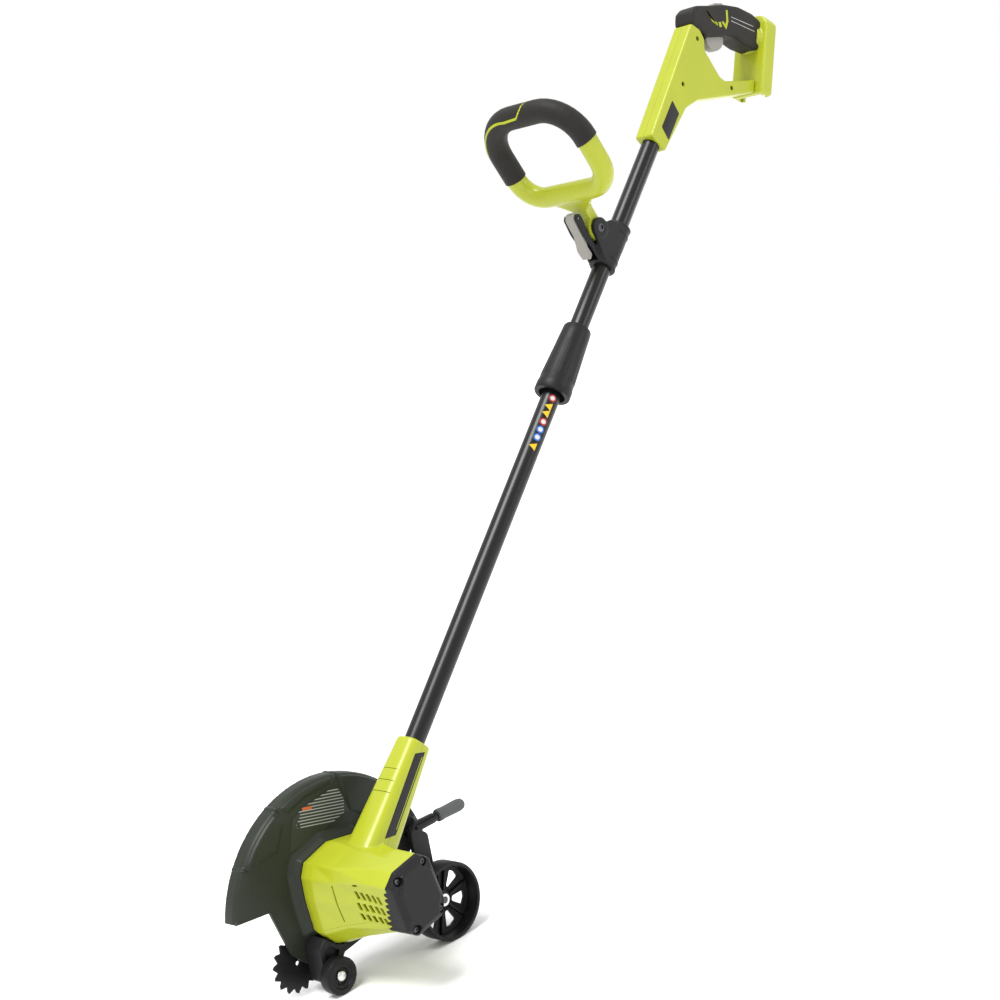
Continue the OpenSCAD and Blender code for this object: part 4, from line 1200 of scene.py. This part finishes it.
class EDGER_OT_rear_handle(bpy.types.Operator):
    """Trigger handle in two shells, overmoulded grip, dock, trigger and button"""
    bl_idname = "edger.rear_handle"
    bl_label = "Rear handle"

    HANDLE = [(-688, 864), (-710.5, 840.5), (-735, 862), (-771, 893), (-800, 902), (-860, 903), (-932.2, 904.4),
              (-939.2, 921.8), (-905, 922.5), (-868, 924), (-857, 931), (-833, 967), (-836, 982), (-829, 995),
              (-812, 1004)]
    GRIP = [(-812, 1004), (-817, 1020), (-829, 1027), (-855, 1026.5), (-892, 1027), (-925, 1023), (-955, 1013),
            (-973, 1002), (-976, 985), (-969, 966), (-955, 962), (-930, 969), (-905, 982), (-886, 985), (-846, 985),
            (-836, 979.6), (-838, 988)]
    HALF = 14.6
    SCREWS = [(-772, 925), (-880, 913.5), (-820, 983)]
    SCREW_SEAT = BOOM_OUT + HALF - 3.4

    def execute(self, context):
        shell = plate(self.HANDLE, BOOM_OUT - self.HALF, BOOM_OUT + self.HALF, 2.5, 3.4, 4)
        body = soft_mesh(shell, BASE, 0.0013, 5, "trigger_handle_body")
        carve(body, rod(12.04, 900, 1101, 64), BOOM)
        for side, hand in ((1, "left"), (-1, "right")):
            half = half_of(body, "trigger_handle_" + hand, (0, BOOM_Y + side * sizes().parting, 0), (0, side, 0))
            if side > 0:
                self.screw_wells(half)
            shade(half, 38)
            finish_piece(half, "lime_plastic", "upper_boom", replaces=["handle_%s_shell" % hand])
        clear_piece(body)
        heads = fresh()
        for x, z in self.SCREWS:
            join(heads, moved(screw_head(2.9, 1.8), Matrix.Translation((x, self.SCREW_SEAT, z))))
            join(heads, cross_rod((x, z), 1.65, 42, self.SCREW_SEAT + 0.1, 20))
        piece("handle_screw_heads", heads, BASE, "dark_screws", "upper_boom", replaces=["handle_screws"])
        self.grip()
        self.dock()
        self.controls()
        return {"FINISHED"}

    def screw_wells(self, half):
        for at in self.SCREWS:
            carve(half, cross_rod(at, 3.4, self.SCREW_SEAT, 90, 32), BASE)

    def grip(self):
        bm = plate(self.GRIP, BOOM_OUT - 15.8, BOOM_OUT + 15.8, 2.0, 8.5, 6)
        obj = soft_mesh(bm, BASE, 0.0012, 45, "trigger_grip_sleeve")
        carve(obj, block((-60, -40, -40), (0.3, 40, 200)), DOCK)
        carve(obj, plate([(-848, 950), (-896, 950), (-896, 1012), (-848, 1012)], 47.2, 59.2), BASE)
        carve(obj, plate([(-878, 1000), (-908, 1000), (-908, 1050), (-878, 1050)], 48.2, 58.2), BASE)
        shade(obj, 40)
        finish_piece(obj, "grip_rubber", "upper_boom", replaces=["grip_sleeve"])
        for side, hand in ((-1, "right"), (1, "left")):
            marks = fresh()
            for outline in ([(-846, 1019), (-850.5, 1018.5), (-857.5, 1004.5), (-869, 998), (-869, 1002.2),
                             (-855, 1009)],
                            [(-871.5, 1003), (-877, 1003.5), (-878, 996.5), (-872.5, 996)],
                            [(-879.5, 1002), (-887, 992.5), (-894.5, 1003), (-897, 1018.5), (-893, 1019),
                             (-890.5, 1005), (-886.8, 999.5), (-882, 1004.5)]):
                join(marks, plate(outline, -5.0, 0.7, 0.5, 0.25))
            flank = Matrix.Translation((0, BOOM_OUT + side * 15.4, 0)) @ Matrix.Diagonal((1, side, 1, 1))
            moved(marks, flank)
            piece("grip_chevron_" + hand, marks, BASE, "lime_print", "upper_boom")
            lines = fresh()
            for a, b in (((-903, 1009.5), (-952, 995)), ((-901, 1004.5), (-953, 988))):
                join(lines, plate([a, (a[0], a[1] - 0.7), (b[0], b[1] - 0.7), b], -4.0, 0.5, 0, 0.1))
            moved(lines, flank)
            piece("grip_lines_" + hand, lines, BASE, "pale_print", "upper_boom")

    def dock(self):
        t, h, half = 24.0, 116.0, 27.0
        outline = [(-half, 2), (-half + 5, 0), (half - 5, 0), (half, 2), (half, h - 12), (half - 8, h - 3),
                   (half - 16, h), (-half + 16, h), (-half + 8, h - 3), (-half, h - 12)]
        bm = plate(outline, 0, t, 2.5, 2.2, 4)
        moved(bm, Matrix.Rotation(math.pi / 2, 4, "Z"))
        collar = rod(19.5, -3, 6, 48, 2.0)
        moved(collar, Matrix.Translation((0, 0, 82)) @ Matrix.Rotation(math.pi / 2, 4, "Y"))
        join(bm, collar)
        obj = soft_mesh(bm, DOCK, 0.0013, 4, "battery_dock_body")
        carve(obj, block((-60, -18.8, -10), (-8, 18.8, 88.8)), DOCK)
        carve(obj, block((-19, -22, -10), (-13, 22, 88.6)), DOCK)
        carve(obj, block((-60, -80, h), (60, 80, 200)), DOCK)
        shade(obj, 38)
        obj.name = "battery_dock_moulding"
        finish_piece(obj, "lime_plastic", "upper_boom", replaces=["battery_dock"])

    def controls(self):
        trigger = plate([(-851.5, 987), (-853, 977), (-858, 970), (-866, 966.5), (-875, 966.5), (-884, 970),
                         (-890, 976), (-893, 987)], BOOM_OUT - 5.4, BOOM_OUT + 5.4, 1.5, 1.6, 4)
        piece("trigger_moulding", trigger, BASE, "pale_plastic", "trigger_body", replaces=["trigger"])
        button = plate([(-879, 1012), (-907, 1012), (-906, 1027), (-903, 1030.4), (-885, 1031), (-881, 1028)],
                       BOOM_OUT - 4.4, BOOM_OUT + 4.4, 0.8, 1.0, 3)
        for k in range(4):
            ridge = block((-902 + 5 * k, 49.6, 1029.6), (-900 + 5 * k, 56.8, 1031.0), 0.4)
            join(button, ridge)
        piece("lock_off_button_moulding", button, BASE, "pale_plastic", "button_body",
              replaces=["lock_off_button"])
        badge = plate([(-13, 1041), (6.5, 1047), (6.5, 1092), (-13, 1086)], self.HALF - 0.2,
                      self.HALF + 0.45, 1.2, 0.2)
        piece("handle_plate", badge, BOOM, "plate_film", "upper_boom", ["name_plate"])


class EDGER_OT_fittings(bpy.types.Operator):
    """Finishes for the CAD pieces that keep their own shape"""
    bl_idname = "edger.fittings"
    bl_label = "Fittings"

    def execute(self, context):
        slots = {s["node"]: s["material_slot"] for s in frame["record"]["subparts"]}
        for name, node in frame["nodes"].items():
            node.data.materials.clear()
            node.data.materials.append(FINISHES[slots[name]].material)
        return {"FINISHED"}


class EDGER_OT_stage(bpy.types.Operator):
    """Pale floor, soft light and the camera"""
    bl_idname = "edger.stage"
    bl_label = "Stage"

    def execute(self, context):
        scene = context.scene
        floor = fresh()
        bmesh.ops.create_grid(floor, x_segments=1, y_segments=1, size=40.0)
        ground = as_object("floor", floor)
        finish = Finish("floor_paint", tuple(colours().floor), 0.7)
        finish.set(Roughness=finish.noise(2.0) * 0.1 + 0.65)
        ground.data.materials.append(finish.material)
        world = bpy.data.worlds.new("studio")
        scene.world = world
        world.use_nodes = True
        sky = world.node_tree.nodes["Background"].inputs
        sky["Color"].default_value = (1.0, 1.0, 1.0, 1.0)
        sky["Strength"].default_value = 1.0
        sun = bpy.data.lights.new("sky", "SUN")
        sun.angle = math.radians(28)
        sun.energy = 3.4
        high = bpy.data.objects.new("sky", sun)
        high.matrix_world = self.aimed((0.9, 0.1, 2.4), (0, 0, 0))
        scene.collection.objects.link(high)
        self.lamp("key", (2.6, 1.2, 2.2), (-0.1, 0.0, 0.5), 1.2, 12)
        self.lamp("side", (-1.4, 2.4, 1.5), (0, 0, 0.5), 1.0, 12)
        self.camera(scene)
        scene.view_settings.view_transform = "Standard"
        return {"FINISHED"}

    @staticmethod
    def aimed(place, target):
        return (Vector(place) - Vector(target)).to_track_quat("Z", "Y").to_matrix().to_4x4()

    def lamp(self, name, place, target, size, power):
        light = bpy.data.lights.new(name, "AREA")
        light.shape = "DISK"
        light.size = size
        light.energy = power
        obj = bpy.data.objects.new(name, light)
        obj.matrix_world = Matrix.Translation(place) @ self.aimed(place, target)
        bpy.context.scene.collection.objects.link(obj)

    @staticmethod
    def camera(scene):
        data = bpy.data.cameras.new("camera")
        data.lens = CAMERA_LENS
        data.sensor_width = 36.0
        data.clip_end = 60.0
        obj = bpy.data.objects.new("camera", data)
        azimuth, elevation = math.radians(CAMERA_AZIMUTH), math.radians(CAMERA_ELEVATION)
        back = Vector((math.sin(azimuth) * math.cos(elevation), -math.cos(azimuth) * math.cos(elevation),
                       math.sin(elevation)))
        turn = back.to_track_quat("Z", "Y").to_matrix() @ Matrix.Rotation(math.radians(CAMERA_ROLL), 3, "Z")
        obj.matrix_world = Matrix.Translation(CAMERA_AT) @ turn.to_4x4()
        scene.collection.objects.link(obj)
        scene.camera = obj


STEPS = (EDGER_OT_fittings, EDGER_OT_guard, EDGER_OT_housing, EDGER_OT_end_cap, EDGER_OT_boom, EDGER_OT_wheels,
         EDGER_OT_blade, EDGER_OT_depth_lever, EDGER_OT_front_handle, EDGER_OT_rear_handle, EDGER_OT_stage)


class EDGER_PT_panel(bpy.types.Panel):
    """Lists the edger's colours, sizes and pieces"""
    bl_label = "Lawn edger"
    bl_idname = "EDGER_PT_panel"
    bl_space_type = "VIEW_3D"
    bl_region_type = "UI"
    bl_category = "Edger"

    def draw(self, context):
        for group in (context.scene.edger_colours, context.scene.edger_sizes):
            box = self.layout.box()
            for key in group.__annotations__:
                box.prop(group, key)
        for step in STEPS:
            self.layout.operator(step.bl_idname)


CLASSES = (EdgerColours, EdgerSizes, *STEPS, EDGER_PT_panel)


def register():
    for cls in CLASSES:
        bpy.utils.register_class(cls)
    bpy.types.Scene.edger_colours = bpy.props.PointerProperty(type=EdgerColours)
    bpy.types.Scene.edger_sizes = bpy.props.PointerProperty(type=EdgerSizes)


def unregister():
    del bpy.types.Scene.edger_sizes
    del bpy.types.Scene.edger_colours
    for cls in reversed(CLASSES):
        bpy.utils.unregister_class(cls)


def main():
    register()
    make_finishes()
    for step in STEPS:
        group, name = step.bl_idname.split(".")
        getattr(getattr(bpy.ops, group), name)()


if __name__ == "__main__":
    main()
